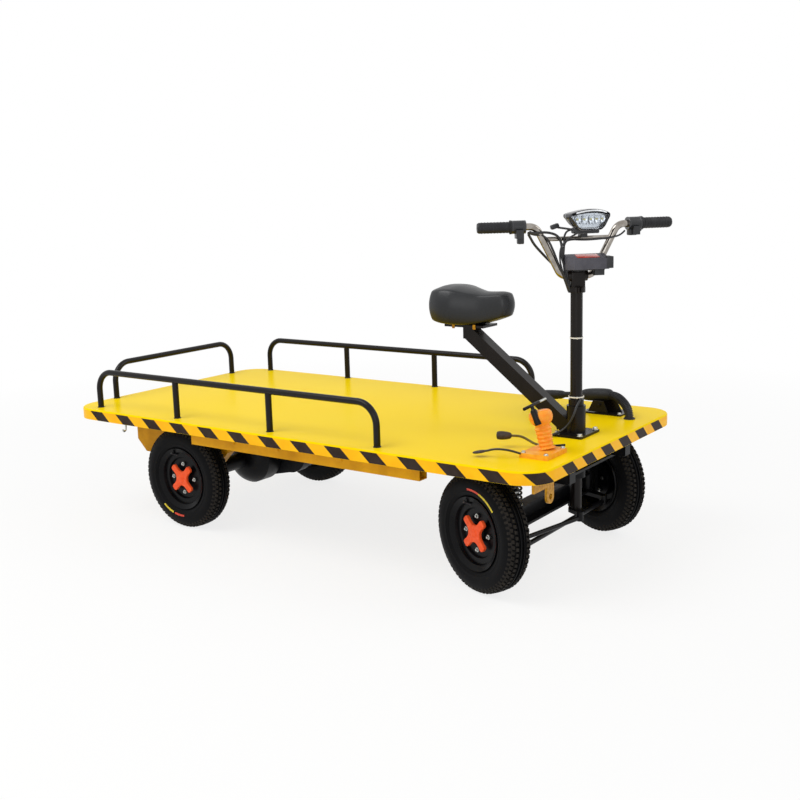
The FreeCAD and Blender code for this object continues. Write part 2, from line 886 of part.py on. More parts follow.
def make_drive_motor():
    """Reduction case beside the differential, with the motor bolted to its left face."""
    body = new_body("reduction_case")
    start = d.case_left + d.seat_gap
    big = d.case_radius - d.gear_margin
    small = d.motor_radius + d.gear_margin
    plan = sketch_on(body, "reduction_plan", "XZ_Plane", -start)
    motor_x = rear_x + d.motor_ahead
    outline(plan, [
        (rear_x, d.wheel_radius - big, big), (motor_x, d.motor_height - small),
        (motor_x, d.motor_height + small, small), (rear_x, d.wheel_radius + big),
    ])
    pad(body, plan, d.gear_thick, back=True)
    bore = sketch_on(body, "reduction_bore", "XZ_Plane", -start)
    circle(bore, rear_x, d.wheel_radius, d.axle_tube + d.seat_gap)
    pocket(body, bore, d.gear_thick)
    face = start + d.gear_thick
    shell = cylinder("motor_shell", d.motor_radius, motor_x, (face, face + d.motor_length), d.motor_height)
    cap_radius = d.motor_radius * 0.8
    cap = cylinder("motor_cap", cap_radius, motor_x, (face + d.motor_length, face + d.motor_length + 16),
                   d.motor_height)
    return fuse("drive_motor", body, shell, cap)


# Front axle

def make_front_beam():
    """A channel that opens forward, with kingpin bosses at its ends and spring perches on top."""
    body = new_body("beam_channel")
    back = front_x - d.beam_depth / 2 - 4
    front = back + d.beam_depth
    wall = d.beam_wall
    reach = d.kingpin_place - d.boss_radius + 4
    section = sketch_on(body, "beam_section", "XZ_Plane", -reach)
    outline(section, [
        (back, d.beam_bottom), (front, d.beam_bottom), (front, d.beam_bottom + wall),
        (back + wall, d.beam_bottom + wall), (back + wall, beam_top - wall), (front, beam_top - wall),
        (front, beam_top), (back, beam_top),
    ])
    pad(body, section, reach * 2)
    pieces = [body]
    bores = []
    for side in (-1, 1):
        pin_y = d.kingpin_place * side
        pieces.append(cylinder(f"kingpin_boss_{side + 1}", d.boss_radius, front_x, pin_y,
                               (d.beam_bottom, beam_top)))
        pieces.append(cylinder(f"spring_seat_{side + 1}", d.spring_perch, front_x - 4, d.rail_place * side,
                               (beam_top - wall, beam_top + d.perch_thick)))
        bores.append(cylinder(f"kingpin_bore_{side + 1}", d.kingpin_radius + d.pin_gap, front_x, pin_y,
                              (d.beam_bottom - 1, beam_top + 1)))
    solid = fuse("beam_solid", *pieces)
    return cut("front_axle_beam", solid, fuse("kingpin_bores", *bores))


wire_sides = 6


def make_front_damper(name, side):
    """A coil-over damper between the beam's perch and the frame rail above it."""
    x = front_x - 4
    y = d.rail_place * side
    low = beam_top + d.perch_thick
    high = rail_bottom
    cup = d.perch_thick
    middle = low + (high - low) * 0.45
    body = cylinder(name + "_body", d.damper_radius, x, y, (low, middle))
    rod = cylinder(name + "_rod", d.damper_rod, x, y, (middle, high - cup))
    top = cylinder(name + "_cup", d.spring_perch, x, y, (high - cup, high))
    strut = fuse(name, body, rod, top)
    coil = doc.addObject("Part::Feature", name + "_coil")
    height = (high - cup - low).number
    wire = d.spring_wire.number
    rise = height - 2 * wire
    helix = Part.makeHelix(rise / d.spring_turns.number, rise, d.spring_mean.number)
    corners = []
    for index in range(wire_sides + 1):
        angle = 2 * math.pi * index / wire_sides
        corners.append(FreeCAD.Vector(d.spring_mean.number + wire * math.cos(angle), 0, wire * math.sin(angle)))
    section = Part.makePolygon(corners)
    coil.Shape = Part.Wire(helix).makePipeShell([section], True, True)
    place(coil, x, y, low + d.spring_wire)
    return group(name + "_pair", strut, coil)


def hull_outline(sketch, near, near_radius, length, far_radius):
    """Two round ends joined by straight sides, from (near, 0) forward by a length."""
    return outline(sketch, [
        (near, -near_radius, near_radius), (near + length, -far_radius),
        (near + length, far_radius, far_radius), (near, near_radius),
    ])


def on_kingpin(thing, side):
    """A thing drawn about the kingpin with +X forward, set at its side and turned to the rest lock."""
    return place(thing, front_x, d.kingpin_place * side, 0, (0, 0, -1), d.wheel_turn)


ear_low = d.beam_bottom - d.seat_gap - d.ear_thick
ear_high = beam_top + d.seat_gap


def make_knuckle(name, side):
    """Yoke round the beam's boss, kingpin, stub axle and the arm that points forward."""
    outer, inner = d.yoke_outer * side, d.yoke_inner * side
    wall = low_to_high(outer, inner)
    ears = []
    for level, low in (("lower", ear_low), ("upper", ear_high)):
        body = new_body(f"{name}_{level}_ear")
        plan = sketch_on(body, f"{name}_{level}_plan", "XY_Plane", low)
        radius = d.ear_radius
        if side > 0:
            outline(plan, [(radius, 0, radius), (radius, inner + 1), (-radius, inner + 1), (-radius, 0)])
        else:
            outline(plan, [(-radius, 0, radius), (-radius, inner - 1), (radius, inner - 1), (radius, 0)])
        pad(body, plan, d.ear_thick)
        ears.append(body)
    upright = block(name + "_upright", (-d.ear_radius, d.ear_radius), wall,
                    (ear_low, ear_high + d.ear_thick))
    pin = cylinder(name + "_kingpin", d.kingpin_radius, as_size(0), as_size(0),
                   (ear_low, ear_high + d.ear_thick + 4))
    tip = (d.wheel_offset + d.hub_face + 4) * side
    stub = cylinder(name + "_stub", d.stub_radius, as_size(0), low_to_high(outer, tip), d.wheel_radius)
    arm = new_body(name + "_arm")
    plan = sketch_on(arm, name + "_arm_plan", "XY_Plane", ear_low)
    hull_outline(plan, as_size(0), d.ear_radius, d.arm_length, d.arm_end)
    pad(arm, plan, d.ear_thick)
    whole = fuse(name, *ears, upright, pin, stub, arm)
    return on_kingpin(whole, side)


def lever_end(side, height):
    """Where the outer end of a knuckle's arm stands at rest."""
    x = front_x + d.arm_length * cosine(d.wheel_turn)
    y = d.kingpin_place * side - d.arm_length * sine(d.wheel_turn)
    return x, y, height


def make_tie_rod():
    """A rod between flat eyes that lie under the ends of both knuckle arms."""
    top = ear_low - d.seat_gap
    low = top - d.eye_thick
    x, right, _ = lever_end(-1, low)
    left = lever_end(1, low)[1]
    eyes = [cylinder(f"tie_eye_{side}", d.ball_radius, x, y, (low, top))
            for side, y in (("right", right), ("left", left))]
    bar = cylinder("tie_bar", d.rod_radius, x, (right, left), low + d.eye_thick / 2)
    return fuse("tie_rod", *eyes, bar)


pitman_top_z = ear_low + d.ear_thick + d.seat_gap * 2 + d.eye_thick + d.pitman_thick


def make_pitman():
    """The short lever at the foot of the column, turned with the handlebar."""
    body = new_body("pitman_arm")
    plan = sketch_on(body, "pitman_plan", "XY_Plane", pitman_top_z - d.pitman_thick)
    hull_outline(plan, as_size(0), d.pitman_boss, d.pitman_length, d.ball_radius)
    pad(body, plan, d.pitman_thick)
    return on_column(body)


def make_drag_link():
    """The rod from the lever at the column's foot to the right knuckle's arm."""
    low = ear_low + d.ear_thick + d.seat_gap
    high = low + d.eye_thick
    start = FreeCAD.Vector(
        (column_x + d.pitman_length * cosine(d.bar_turn)).number,
        (-d.pitman_length * sine(d.bar_turn)).number, (low + d.eye_thick / 2).number)
    x, y, _ = lever_end(-1, low)
    finish = FreeCAD.Vector(x.number, y.number, start.z)
    near = cylinder("drag_eye_near", d.ball_radius, column_x + d.pitman_length * cosine(d.bar_turn),
                    -d.pitman_length * sine(d.bar_turn), (low, high))
    far = cylinder("drag_eye_far", d.ball_radius, x, y, (low, high))
    bar = doc.addObject("Part::Feature", "drag_bar")
    bar.Shape = Part.makeCylinder(d.link_radius.number, (finish - start).Length, start, finish - start)
    return fuse("drag_link", near, far, bar)


# Steering column

def on_column(thing, x=0, y=0, z=0):
    """A thing drawn about the column's axis with +X forward, turned with the handlebar at rest.
    x and y are a place in the turned frame."""
    x, y = as_size(x), as_size(y)
    spot_x = column_x + x * cosine(d.bar_turn) + y * sine(d.bar_turn)
    spot_y = y * cosine(d.bar_turn) - x * sine(d.bar_turn)
    return place(thing, spot_x, spot_y, z, (0, 0, -1), d.bar_turn)


def make_column_housing():
    """Foot plate, housing and neck round the steering tube, standing on the deck."""
    bore = d.column_radius + d.pin_gap
    foot_top = d.deck_top + d.foot_thick
    plate = block("foot_plate", (column_x - d.foot_length / 2, column_x + d.foot_length / 2),
                  (-d.foot_width / 2, d.foot_width / 2), (d.deck_top, foot_top))
    barrel = cylinder("housing_barrel", d.housing_radius, column_x, as_size(0), (foot_top, housing_top))
    neck = cylinder("housing_neck", d.neck_radius, column_x, as_size(0),
                    (housing_top, housing_top + d.neck_height))
    hole = cylinder("housing_bore", bore, column_x, as_size(0),
                    (d.deck_top - 1, housing_top + d.neck_height + 1))
    return cut("column_housing", fuse("housing_solid", plate, barrel, neck), hole)


def make_steering_carrier():
    """A plate under the frame rails that holds the column's lower bush."""
    low = rail_bottom - d.carrier_thick
    plate = block("carrier_plate", (column_x - d.carrier_length / 2, column_x + d.carrier_length / 2),
                  (-d.rail_place - d.rail_width / 2, d.rail_place + d.rail_width / 2), (low, rail_bottom))
    bush = cylinder("carrier_bush", d.bush_radius, column_x, as_size(0), (low - d.bush_length, low))
    hole = cylinder("carrier_bore", d.column_radius + d.pin_gap, column_x, as_size(0),
                    (low - d.bush_length - 1, rail_bottom + 1))
    return cut("steering_carrier", fuse("carrier_solid", plate, bush), hole)


def make_column_tube():
    return cylinder("column_tube", d.column_radius, column_x, as_size(0), (pitman_top_z, d.column_top))


# Handlebar

def make_stem_clamp():
    """Collar on the column's top and the block that grips the bar."""
    low = d.column_top - d.collar_height
    block_low = d.column_top + d.seat_gap
    collar = cylinder("stem_collar", d.collar_radius, as_size(0), as_size(0), (low, block_low))
    socket = cylinder("stem_socket", d.column_radius + d.seat_gap, as_size(0), as_size(0),
                      (low - 1, block_low))
    jaw = block("stem_jaw", (-d.clamp_depth / 2, d.clamp_depth / 2), (-d.clamp_width / 2, d.clamp_width / 2),
                (block_low, bar_seat + d.bar_radius + d.clamp_cover))
    seat = cylinder("stem_bar_seat", d.bar_radius + d.seat_gap, as_size(0),
                    (-d.clamp_width / 2 - 1, d.clamp_width / 2 + 1), bar_seat)
    solid = fuse("stem_solid", cut("stem_sleeve", collar, socket), jaw)
    return on_column(cut("stem_clamp", solid, seat))


def make_handlebar():
    """One bent tube with a cross brace, drawn with its ends swept back."""
    sweep = math.radians(d.bar_sweep.number)
    reach = d.bar_reach.number
    top = bar_height.number
    points = []
    for side in (-1, 1):
        shoulder = FreeCAD.Vector(0, side * d.bar_shoulder.number, top)
        end = shoulder + FreeCAD.Vector(-math.sin(sweep) * reach, side * math.cos(sweep) * reach, 0)
        foot = FreeCAD.Vector(0, side * (d.bar_foot.number + 6), bar_seat.number)
        points += [end, shoulder, foot] if side < 0 else [foot, shoulder, end]
    bend = d.bar_bend.number
    tube = doc.addObject("Part::Feature", "bar_tube")
    tube.Shape = bent_rod(bent_wire(points, [bend, bend * 0.9, bend * 0.9, bend]), d.bar_radius.number)
    share = (d.bar_rise - d.cross_drop) / d.bar_rise
    brace_half = d.bar_foot + 6 + (d.bar_shoulder - d.bar_foot - 6) * share
    brace = cylinder("bar_brace", d.cross_radius, as_size(0), (-brace_half, brace_half), bar_height - d.cross_drop)
    return on_column(fuse("handlebar", tube, brace))


def on_bar_end(thing, side):
    """A thing drawn along Y from the bar's shoulder, turned with the bar and its sweep."""
    angle = d.bar_turn - d.bar_sweep if side > 0 else d.bar_turn + d.bar_sweep
    shoulder = d.bar_shoulder * side
    return place(thing, column_x + shoulder * sine(d.bar_turn), shoulder * cosine(d.bar_turn),
                 bar_height, (0, 0, -1), angle)


def make_grip(name, side):
    """A rubber sleeve with a flange at its inner end."""
    body = new_body(name)
    profile = sketch_on(body, name + "_profile", "XY_Plane")
    bore = d.bar_radius + d.seat_gap
    start = d.grip_start * side
    end = (d.grip_start + d.grip_length) * side
    flange_end = (d.grip_start + 5) * side
    closed = (d.bar_reach + d.seat_gap) * side
    order = [
        (bore, start), (d.grip_flange, start), (d.grip_flange, flange_end), (d.grip_radius, flange_end),
        (d.grip_radius, end - 3 * side), (d.grip_radius - 3, end + 2 * side), (0, end + 2 * side),
        (0, closed), (bore, closed),
    ]
    outline(profile, order if side < 0 else order[::-1])
    revolve(body, profile)
    return on_bar_end(body, side)


def make_switch(name, side):
    """Clamped switch housing inboard of a grip, with a short lever perch below it."""
    span = low_to_high(d.switch_start * side, (d.switch_start + d.switch_length) * side)
    bore = d.bar_radius + d.seat_gap
    barrel = cylinder(name + "_barrel", d.switch_radius, as_size(0), span, as_size(0))
    middle = (d.switch_start + d.switch_length / 2) * side
    perch = block(name + "_perch", (as_size(-10), as_size(26)), (middle - 11, middle + 11),
                  (-d.switch_radius - 14, as_size(-8)))
    hole = cylinder(name + "_hole", bore, as_size(0), (span[0] - 1, span[1] + 1), as_size(0))
    return on_bar_end(cut(name, fuse(name + "_solid", barrel, perch), hole), side)


def rounded_plan(sketch, y, z, corner):
    """A rectangle with round corners between low and high values."""
    low_y, high_y = y
    low_z, high_z = z
    return outline(sketch, [
        (high_y - corner, low_z), (high_y, low_z + corner, corner), (high_y, high_z - corner),
        (high_y - corner, high_z, corner), (low_y + corner, high_z), (low_y, high_z - corner, corner),
        (low_y, low_z + corner), (low_y + corner, low_z, corner),
    ])


def make_headlight():
    """The lamp's shell, tapered behind, on a foot that stands on the bar's brace, and its lens."""
    half = d.lamp_width / 2
    low = bar_height + d.lamp_rise - d.lamp_height / 2
    high = low + d.lamp_height
    shell = new_body("lamp_shell")
    face = d.lamp_back + d.lamp_depth
    plan = sketch_on(shell, "lamp_plan", "YZ_Plane", d.lamp_back)
    rounded_plan(plan, (-half, half), (low, high), d.lamp_corner)
    pad(shell, plan, d.lamp_depth)
    back = d.lamp_back.number + 0.01
    round_edges(shell, d.lamp_corner * 0.6, lambda edge: edge.BoundBox.XMax < back)
    foot_low = bar_height - d.cross_drop + d.cross_radius + d.seat_gap
    foot = block("lamp_foot", (-d.cross_radius, face - 20), (as_size(-16), as_size(16)),
                 (foot_low, low + 10))
    case = on_column(fuse("headlight_shell", shell, foot))
    lens = new_body("headlight_lens")
    glass = sketch_on(lens, "lens_plan", "YZ_Plane", face + d.seat_gap)
    inset = d.lens_inset
    rounded_plan(glass, (-half + inset, half - inset), (low + inset, high - inset), d.lamp_corner - inset)
    pad(lens, glass, d.lens_thick)
    front = (face + d.seat_gap + d.lens_thick).number - 0.01
    round_edges(lens, d.lens_thick * 0.6, lambda edge: edge.BoundBox.XMin > front)
    return case, on_column(lens)


def make_meter():
    """The meter box in front of the bar, on a tab that rests on the stem clamp."""
    clamp_top = bar_seat + d.bar_radius + d.clamp_cover
    low = clamp_top + d.seat_gap
    half = d.meter_width / 2
    body = new_body("meter_box")
    plan = sketch_on(body, "meter_plan", "YZ_Plane", d.meter_back)
    rounded_plan(plan, (-half, half), (low, low + d.meter_height), as_size(6))
    pad(body, plan, d.meter_depth)
    return on_column(body)


# Saddle and its arm

def make_seat_arm():
    """Square tube that climbs back from the column's housing to the post under the saddle."""
    body = new_body("arm_tube_body")
    half = d.arm_tube / 2
    side_view = sketch_on(body, "arm_side", "XZ_Plane", -half)
    rise = d.arm_rise
    foot_x = column_x - d.housing_radius + d.arm_sunk * cosine(rise)
    foot_z = d.arm_foot - d.arm_sunk * sine(rise)
    head_x = foot_x - d.arm_reach * cosine(rise)
    head_z = foot_z + d.arm_reach * sine(rise)
    over_x, over_z = half * sine(rise), half * cosine(rise)
    outline(side_view, [
        (foot_x - over_x, foot_z - over_z), (foot_x + over_x, foot_z + over_z),
        (head_x + over_x, head_z + over_z), (head_x - over_x, head_z - over_z),
    ])
    pad(body, side_view, d.arm_tube)
    post_x = column_x - d.post_behind
    post_half = d.post_size / 2
    post_top = saddle_bottom - d.plate_thick - d.seat_gap
    post = block("saddle_post", (post_x - post_half, post_x + post_half), (-post_half, post_half),
                 (head_z - over_z, post_top))
    around = cylinder("arm_cope", d.housing_radius + d.cope_gap, column_x, as_size(0),
                      (d.deck_top, housing_top + d.arm_tube))
    below = block("arm_foot_cut", (column_x - d.foot_length, column_x + d.foot_length),
                  (-d.foot_width, d.foot_width), (d.deck_top - d.foot_width, d.deck_top + d.foot_thick))
    return cut("seat_arm", fuse("arm_solid", body, post), fuse("arm_trim", around, below))


def make_seat_bracket():
    x = column_x - d.post_behind
    top = saddle_bottom - d.seat_gap
    return block("seat_bracket", (x - d.plate_length / 2, x + d.plate_length / 2),
                 (-d.plate_width / 2, d.plate_width / 2), (top - d.plate_thick, top))


def make_saddle():
    """A pear-shaped plan and a dipped side view, taken together and rounded all over."""
    tail = column_x - d.saddle_behind
    nose = tail + d.saddle_length
    wide, narrow = d.saddle_wide, d.saddle_narrow
    plan_body = new_body("saddle_plan_body")
    plan = sketch_on(plan_body, "saddle_plan", "XY_Plane", saddle_bottom - 20)
    waist = tail + wide * 1.9
    outline(plan, [
        (nose - narrow, -narrow), (nose - narrow, narrow, narrow), (waist, narrow + 14),
        (tail + wide, wide, wide * 1.6), (tail + wide, -wide, wide), (waist, -narrow - 14, wide * 1.6),
    ])
    pad(plan_body, plan, d.saddle_rear_thick + 40)
    side_body = new_body("saddle_side_body")
    side = sketch_on(side_body, "saddle_side", "XZ_Plane", -wide - 10)
    middle = (tail + nose) / 2
    rear_top = saddle_bottom + d.saddle_rear_thick
    nose_top = saddle_bottom + d.saddle_nose_thick
    outline(side, [
        (tail, saddle_bottom + 30), (tail + 30, saddle_bottom), (middle + 20, saddle_bottom),
        (nose, saddle_bottom + d.saddle_nose_lift), (nose, nose_top - 14), (nose - 16, nose_top),
        (middle, saddle_bottom + d.saddle_dip_thick), (tail + 90, rear_top), (tail + 30, rear_top - 6),
        (tail, rear_top - 34),
    ])
    pad(side_body, side, wide * 2 + 20)
    both = doc.addObject("Part::Common", "saddle")
    both.Base = plan_body
    both.Tool = side_body
    return both


# Foot controls on the right of the column

def make_pedal_plate():
    tail = nose_x - d.pedal_plate_place
    return block("pedal_plate", (tail, tail + d.pedal_plate_length), (-d.pedal_plate_right, -d.pedal_plate_left),
                 (d.deck_top, pedal_plate_top))


pedal_plate_top = d.deck_top + d.pedal_plate_thick
boot_x = nose_x - d.pedal_plate_place + d.lever_radius + d.lever_sole
boot_z = pedal_plate_top + d.lever_radius * sine(d.lever_lean) + d.seat_gap


def on_lever(thing, aside=0):
    """A thing drawn about the lever's own axis, leaned back with it."""
    return place(thing, boot_x, -d.lever_place + aside, boot_z, (0, -1, 0), d.lever_lean)


def make_lever_boot():
    """A ribbed rubber boot that leans back from the plate."""
    body = new_body("lever_boot")
    profile = sketch_on(body, "boot_profile", "XZ_Plane")
    step = d.lever_height / boot_ribs
    corners = [(0, 0)]
    for index in range(boot_ribs):
        radius = d.lever_radius - d.boot_taper * index
        waist = radius - d.boot_groove
        corners += [(radius, step * index), (radius, step * (index + 0.55)),
                    (waist, step * (index + 0.7)), (waist, step * (index + 0.9))]
    corners += [(waist, d.lever_height), (0, d.lever_height)]
    outline(profile, corners)
    revolve(body, profile)
    return on_lever(body)


boot_ribs = 5


def make_lever_handle():
    """The cross handle on the boot's top, and the knob that hangs from it."""
    low = d.lever_height + d.seat_gap
    high = low + d.handle_stem
    stem = cylinder("handle_stem_rod", d.handle_radius, as_size(0), as_size(0), (low, high))
    bar = cylinder("handle_bar", d.handle_radius, as_size(0), (-d.handle_half, d.handle_half), high)
    return on_lever(fuse("lever_handle", stem, bar))


def make_pedal():
    """A bent rod from the plate with a round rubber on its cross end."""
    start_x = nose_x - d.pedal_plate_place - d.seat_gap
    lift = d.pedal_lift.number
    y = -(d.pedal_plate_left + d.pedal_inset).number
    z = (d.deck_top + d.pedal_plate_thick / 2).number
    reach = d.pedal_reach.number
    start = start_x.number
    points = [FreeCAD.Vector(start, y, z), FreeCAD.Vector(start - reach * 0.3, y, z),
              FreeCAD.Vector(start - reach * 0.62, y, z + lift), FreeCAD.Vector(start - reach, y, z + lift)]
    rod = doc.addObject("Part::Feature", "pedal_rod_bent")
    rod.Shape = bent_rod(bent_wire(points, [lift * 0.6, lift * 0.6]), d.pedal_rod.number)
    end_x = start_x - d.pedal_reach
    spot_y = -d.pedal_plate_left - d.pedal_inset
    spot_z = d.deck_top + d.pedal_plate_thick / 2 + d.pedal_lift
    rubber = cylinder("pedal_rubber_body", d.pedal_rubber, (end_x - d.pedal_rubber_length, end_x), spot_y, spot_z)
    return fuse("round_pedal", rod, rubber)


def make_flat_pedal():
    """A flat arched bar along the deck with a pad at its rear end."""
    body = new_body("flat_pedal")
    low = d.deck_top + d.seat_gap
    nose = nose_x - d.pedal_plate_place - d.seat_gap
    rise = d.pad_rise
    thick = d.pad_thick
    side_view = sketch_on(body, "flat_pedal_side", "XZ_Plane", d.pad_place)
    outline(side_view, [
        (nose, low), (nose, low + thick), (nose - d.pad_bar * 0.55, low + rise + thick),
        (nose - d.pad_bar, low + rise + thick), (nose - d.pad_bar, low + rise),
        (nose - d.pad_bar * 0.55, low + rise), (nose - thick * 2, low),
    ])
    pad(body, side_view, d.pad_width)
    return body


# Parking brake on the left of the column

def make_brake_bracket():
    """A plate on the deck with one upright cheek that carries the lever."""
    tail = nose_x - d.brake_place
    nose = tail + d.brake_length
    foot_top = d.deck_top + d.brake_thick
    plate = block("brake_plate", (tail, nose), (d.brake_right, d.brake_right + d.brake_width),
                  (d.deck_top, foot_top))
    body = new_body("brake_cheek")
    middle = d.brake_right + d.brake_width / 2
    cheek = sketch_on(body, "cheek_side", "XZ_Plane", -middle)
    top = d.deck_top + d.brake_lever_rise
    outline(cheek, [
        (tail + 20, foot_top - 1), (nose - 15, foot_top - 1), (nose - 40, top + 4), (nose - 75, top + 4),
    ])
    pad(body, cheek, d.brake_thick, back=True)
    return fuse("brake_bracket", plate, body)


def make_brake_lever():
    """A long lever that lies level, with a thick grip at the rear and its housing in front."""
    y = d.brake_right + d.brake_width / 2 - d.brake_lever_radius * 1.3 - d.seat_gap
    z = d.deck_top + d.brake_lever_rise
    tail = nose_x - d.brake_lever_place
    nose = tail + d.brake_lever_length
    bar = cylinder("brake_bar", d.brake_lever_radius, (tail, nose), y, z)
    grip = cylinder("brake_grip", d.brake_grip_radius, (tail, tail + d.brake_grip_length), y, z)
    house = cylinder("brake_house", d.brake_lever_radius * 1.3, (nose - d.brake_house_length, nose), y, z)
    return fuse("brake_lever", bar, grip, house)


# Front bracket under the deck's right corner

def make_tow_bracket():
    """A plate under the front crossmember with a tongue that hangs down and has a hole."""
    body = new_body("tow_bracket")
    back = nose_x - d.tow_place
    face = sketch_on(body, "tow_face", "YZ_Plane", back - d.tow_thick / 2)
    inside = d.tow_side - d.deck_width / 2
    outside = inside - d.tow_width
    base = skirt_bottom - d.tow_drop
    tip = skirt_bottom - d.tow_tip_drop
    tongue = d.tow_tongue
    outline(face, [
        (outside, base), (inside - tongue, base), (inside - tongue, tip + tongue / 2),
        (inside, tip + tongue / 2, tongue / 2), (inside, cross_bottom), (outside, cross_bottom),
    ])
    pad(body, face, d.tow_thick)
    hole = sketch_on(body, "tow_eye", "YZ_Plane", back - d.tow_thick / 2)
    circle(hole, inside - tongue / 2, tip + tongue / 2, d.tow_hole)
    pocket(body, hole, d.tow_thick, back=True)
    return body


# Wiring, held to the column all the way

def points_from(rows):
    return [FreeCAD.Vector(*[as_size(value).number for value in row]) for row in rows]


def soft_bends(points):
    """For each inner point, the largest tangent arc that its two runs allow."""
    radii = []
    for before, corner, after in zip(points, points[1:], points[2:]):
        short = min((corner - before).Length, (after - corner).Length)
        turn = (corner - before).getAngle(after - corner)
        radii.append(0.45 * short / math.tan(turn / 2))
    return radii


def make_column_harness():
    """The loom from the right switch, round behind the stem and down the column's back."""
    back = -(d.column_radius + d.cable_radius + d.seat_gap)
    rows = [
        (-12, -150, 1062), (-28, -128, 1030), (-48, -96, 1000), (-58, -60, 966), (-54, -24, 930),
        (-40, -4, 896), (back, 0, 858), (back, 0, 560),
    ]
    points = points_from(rows)
    cable = doc.addObject("Part::Feature", "column_harness")
    cable.Shape = bent_rod(bent_wire(points, soft_bends(points)), d.cable_radius.number)
    return on_column(cable)


def make_deck_harness():
    """The loom's lower end, from the column's side over the housing and down through the deck."""
    away = (d.housing_radius + d.cable_radius + d.seat_gap)
    x = column_x
    slant = 0.7071
    start = d.column_radius + d.cable_radius + d.seat_gap
    rows = [
        (x - start * slant, start * slant, 558), (x - away * slant - 4, away * slant + 4, 522),
        (x - away * slant - 6, away * slant + 6, 486), (x - away - 10, away + 2, 456),
        (x - 78, 18, d.deck_top + d.cable_radius + 1),
    ]
    points = points_from(rows)
    cable = doc.addObject("Part::Feature", "deck_harness")
    cable.Shape = bent_rod(bent_wire(points, soft_bends(points)), d.cable_radius.number)
    return cable


# All nodes

def pair(name, make, stem):
    """A right and a left piece of one body, kept as one node."""
    return [group(name, make(stem + "_right", -1), make(stem + "_left", 1))]


def make_nodes():
    nodes = [make_deck(), make_crossmembers(), make_main_rails(), make_edge_tubes()]
    nodes += pair("rear_boxes", make_rear_box, "rear_box")
    nodes += [make_battery(), make_battery_cradle()]
    nodes += make_guards()
    nodes += [make_rear_axle(), make_drive_motor(), make_front_beam()]
    nodes += pair("front_dampers", make_front_damper, "damper")
    nodes += [make_knuckle("knuckle_right", -1), make_knuckle("knuckle_left", 1)]
    nodes += [make_tie_rod(), make_pitman(), make_drag_link()]
    nodes += [make_column_housing(), make_steering_carrier(), make_column_tube()]
    nodes += [make_stem_clamp(), make_handlebar(), *make_headlight(), make_meter()]
    nodes += pair("grips", make_grip, "grip") + pair("bar_switches", make_switch, "switch")
    nodes += [make_seat_arm(), make_seat_bracket(), make_saddle()]
    nodes += [make_pedal_plate(), make_lever_boot(), make_lever_handle()]
    nodes += [group("pedals", make_pedal(), make_flat_pedal())]
    nodes += [make_brake_bracket(), make_brake_lever(), make_tow_bracket()]
    nodes += [make_column_harness(), make_deck_harness()]
    for name, side, steered in (
        ("front_right", -1, True), ("front_left", 1, True),
        ("rear_right", -1, False), ("rear_left", 1, False),
    ):
        nodes += make_wheel(name, side, steered)
    return nodes


def check_objects():
    """Stop if anything in the document failed to build."""
    for thing in doc.Objects:
        if "Invalid" in thing.State or "Error" in thing.State:
            raise RuntimeError(f"{thing.Name} failed: {thing.State}")


nodes = make_nodes()
doc.recompute()
check_objects()
for node in nodes:
    if node.Shape.isNull() or not node.Shape.isValid():
        raise RuntimeError(node.Name + " has no valid shape")
for node in nodes:
    node.Label = node.Name
    node.Shape.exportStep(f"parts/{node.Name}.step")
print(len(nodes), "nodes written")
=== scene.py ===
import math

import bpy
from mathutils import Matrix, Vector


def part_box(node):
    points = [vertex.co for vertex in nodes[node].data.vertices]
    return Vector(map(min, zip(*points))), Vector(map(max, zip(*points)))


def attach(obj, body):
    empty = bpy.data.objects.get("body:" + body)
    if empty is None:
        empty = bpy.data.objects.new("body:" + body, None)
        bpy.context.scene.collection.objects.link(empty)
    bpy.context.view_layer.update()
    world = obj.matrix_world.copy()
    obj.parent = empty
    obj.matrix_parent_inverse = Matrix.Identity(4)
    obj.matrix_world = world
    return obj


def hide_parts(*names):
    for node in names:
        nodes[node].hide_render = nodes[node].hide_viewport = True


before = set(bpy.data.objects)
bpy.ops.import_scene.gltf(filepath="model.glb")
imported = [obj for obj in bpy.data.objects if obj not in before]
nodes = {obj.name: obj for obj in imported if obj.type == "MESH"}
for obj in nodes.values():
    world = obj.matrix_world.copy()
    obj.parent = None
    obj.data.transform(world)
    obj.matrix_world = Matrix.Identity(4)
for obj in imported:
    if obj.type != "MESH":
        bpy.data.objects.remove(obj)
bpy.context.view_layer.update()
print("frame loaded:", len(nodes), "nodes")


# helpers
def linear(hexColour):  # sRGB hex to the linear colour that a socket wants
    parts = [int(hexColour[i:i + 2], 16) / 255 for i in (1, 3, 5)]
    return [v / 12.92 if v < 0.0405 else ((v + 0.055) / 1.055) ** 2.4 for v in parts] + [1]


def addNode(tree, kind, settings=None, links=None):
    node = tree.nodes.new(kind)
    for key, value in (settings or {}).items():
        if isinstance(key, int) or key in node.inputs:
            node.inputs[key].default_value = value
        else:
            setattr(node, key, value)
    for key, socket in (links or {}).items():
        tree.links.new(socket, node.inputs[key])
    return node


def objectMode():
    bpy.ops.object.mode_set(mode="OBJECT")


def clearSelection():
    if bpy.context.object and bpy.context.object.mode != "OBJECT":
        objectMode()
    bpy.ops.object.select_all(action="DESELECT")


def makeActive(*objs):
    clearSelection()
    for obj in objs:
        obj.select_set(True)
    bpy.context.view_layer.objects.active = objs[0]


def start(kind, **settings):  # a primitive at its size and place
    clearSelection()
    getattr(bpy.ops.mesh, "primitive_" + kind + "_add")(**settings)
    return bpy.context.object


def discard(*objs):
    for obj in objs:
        bpy.data.objects.remove(obj)


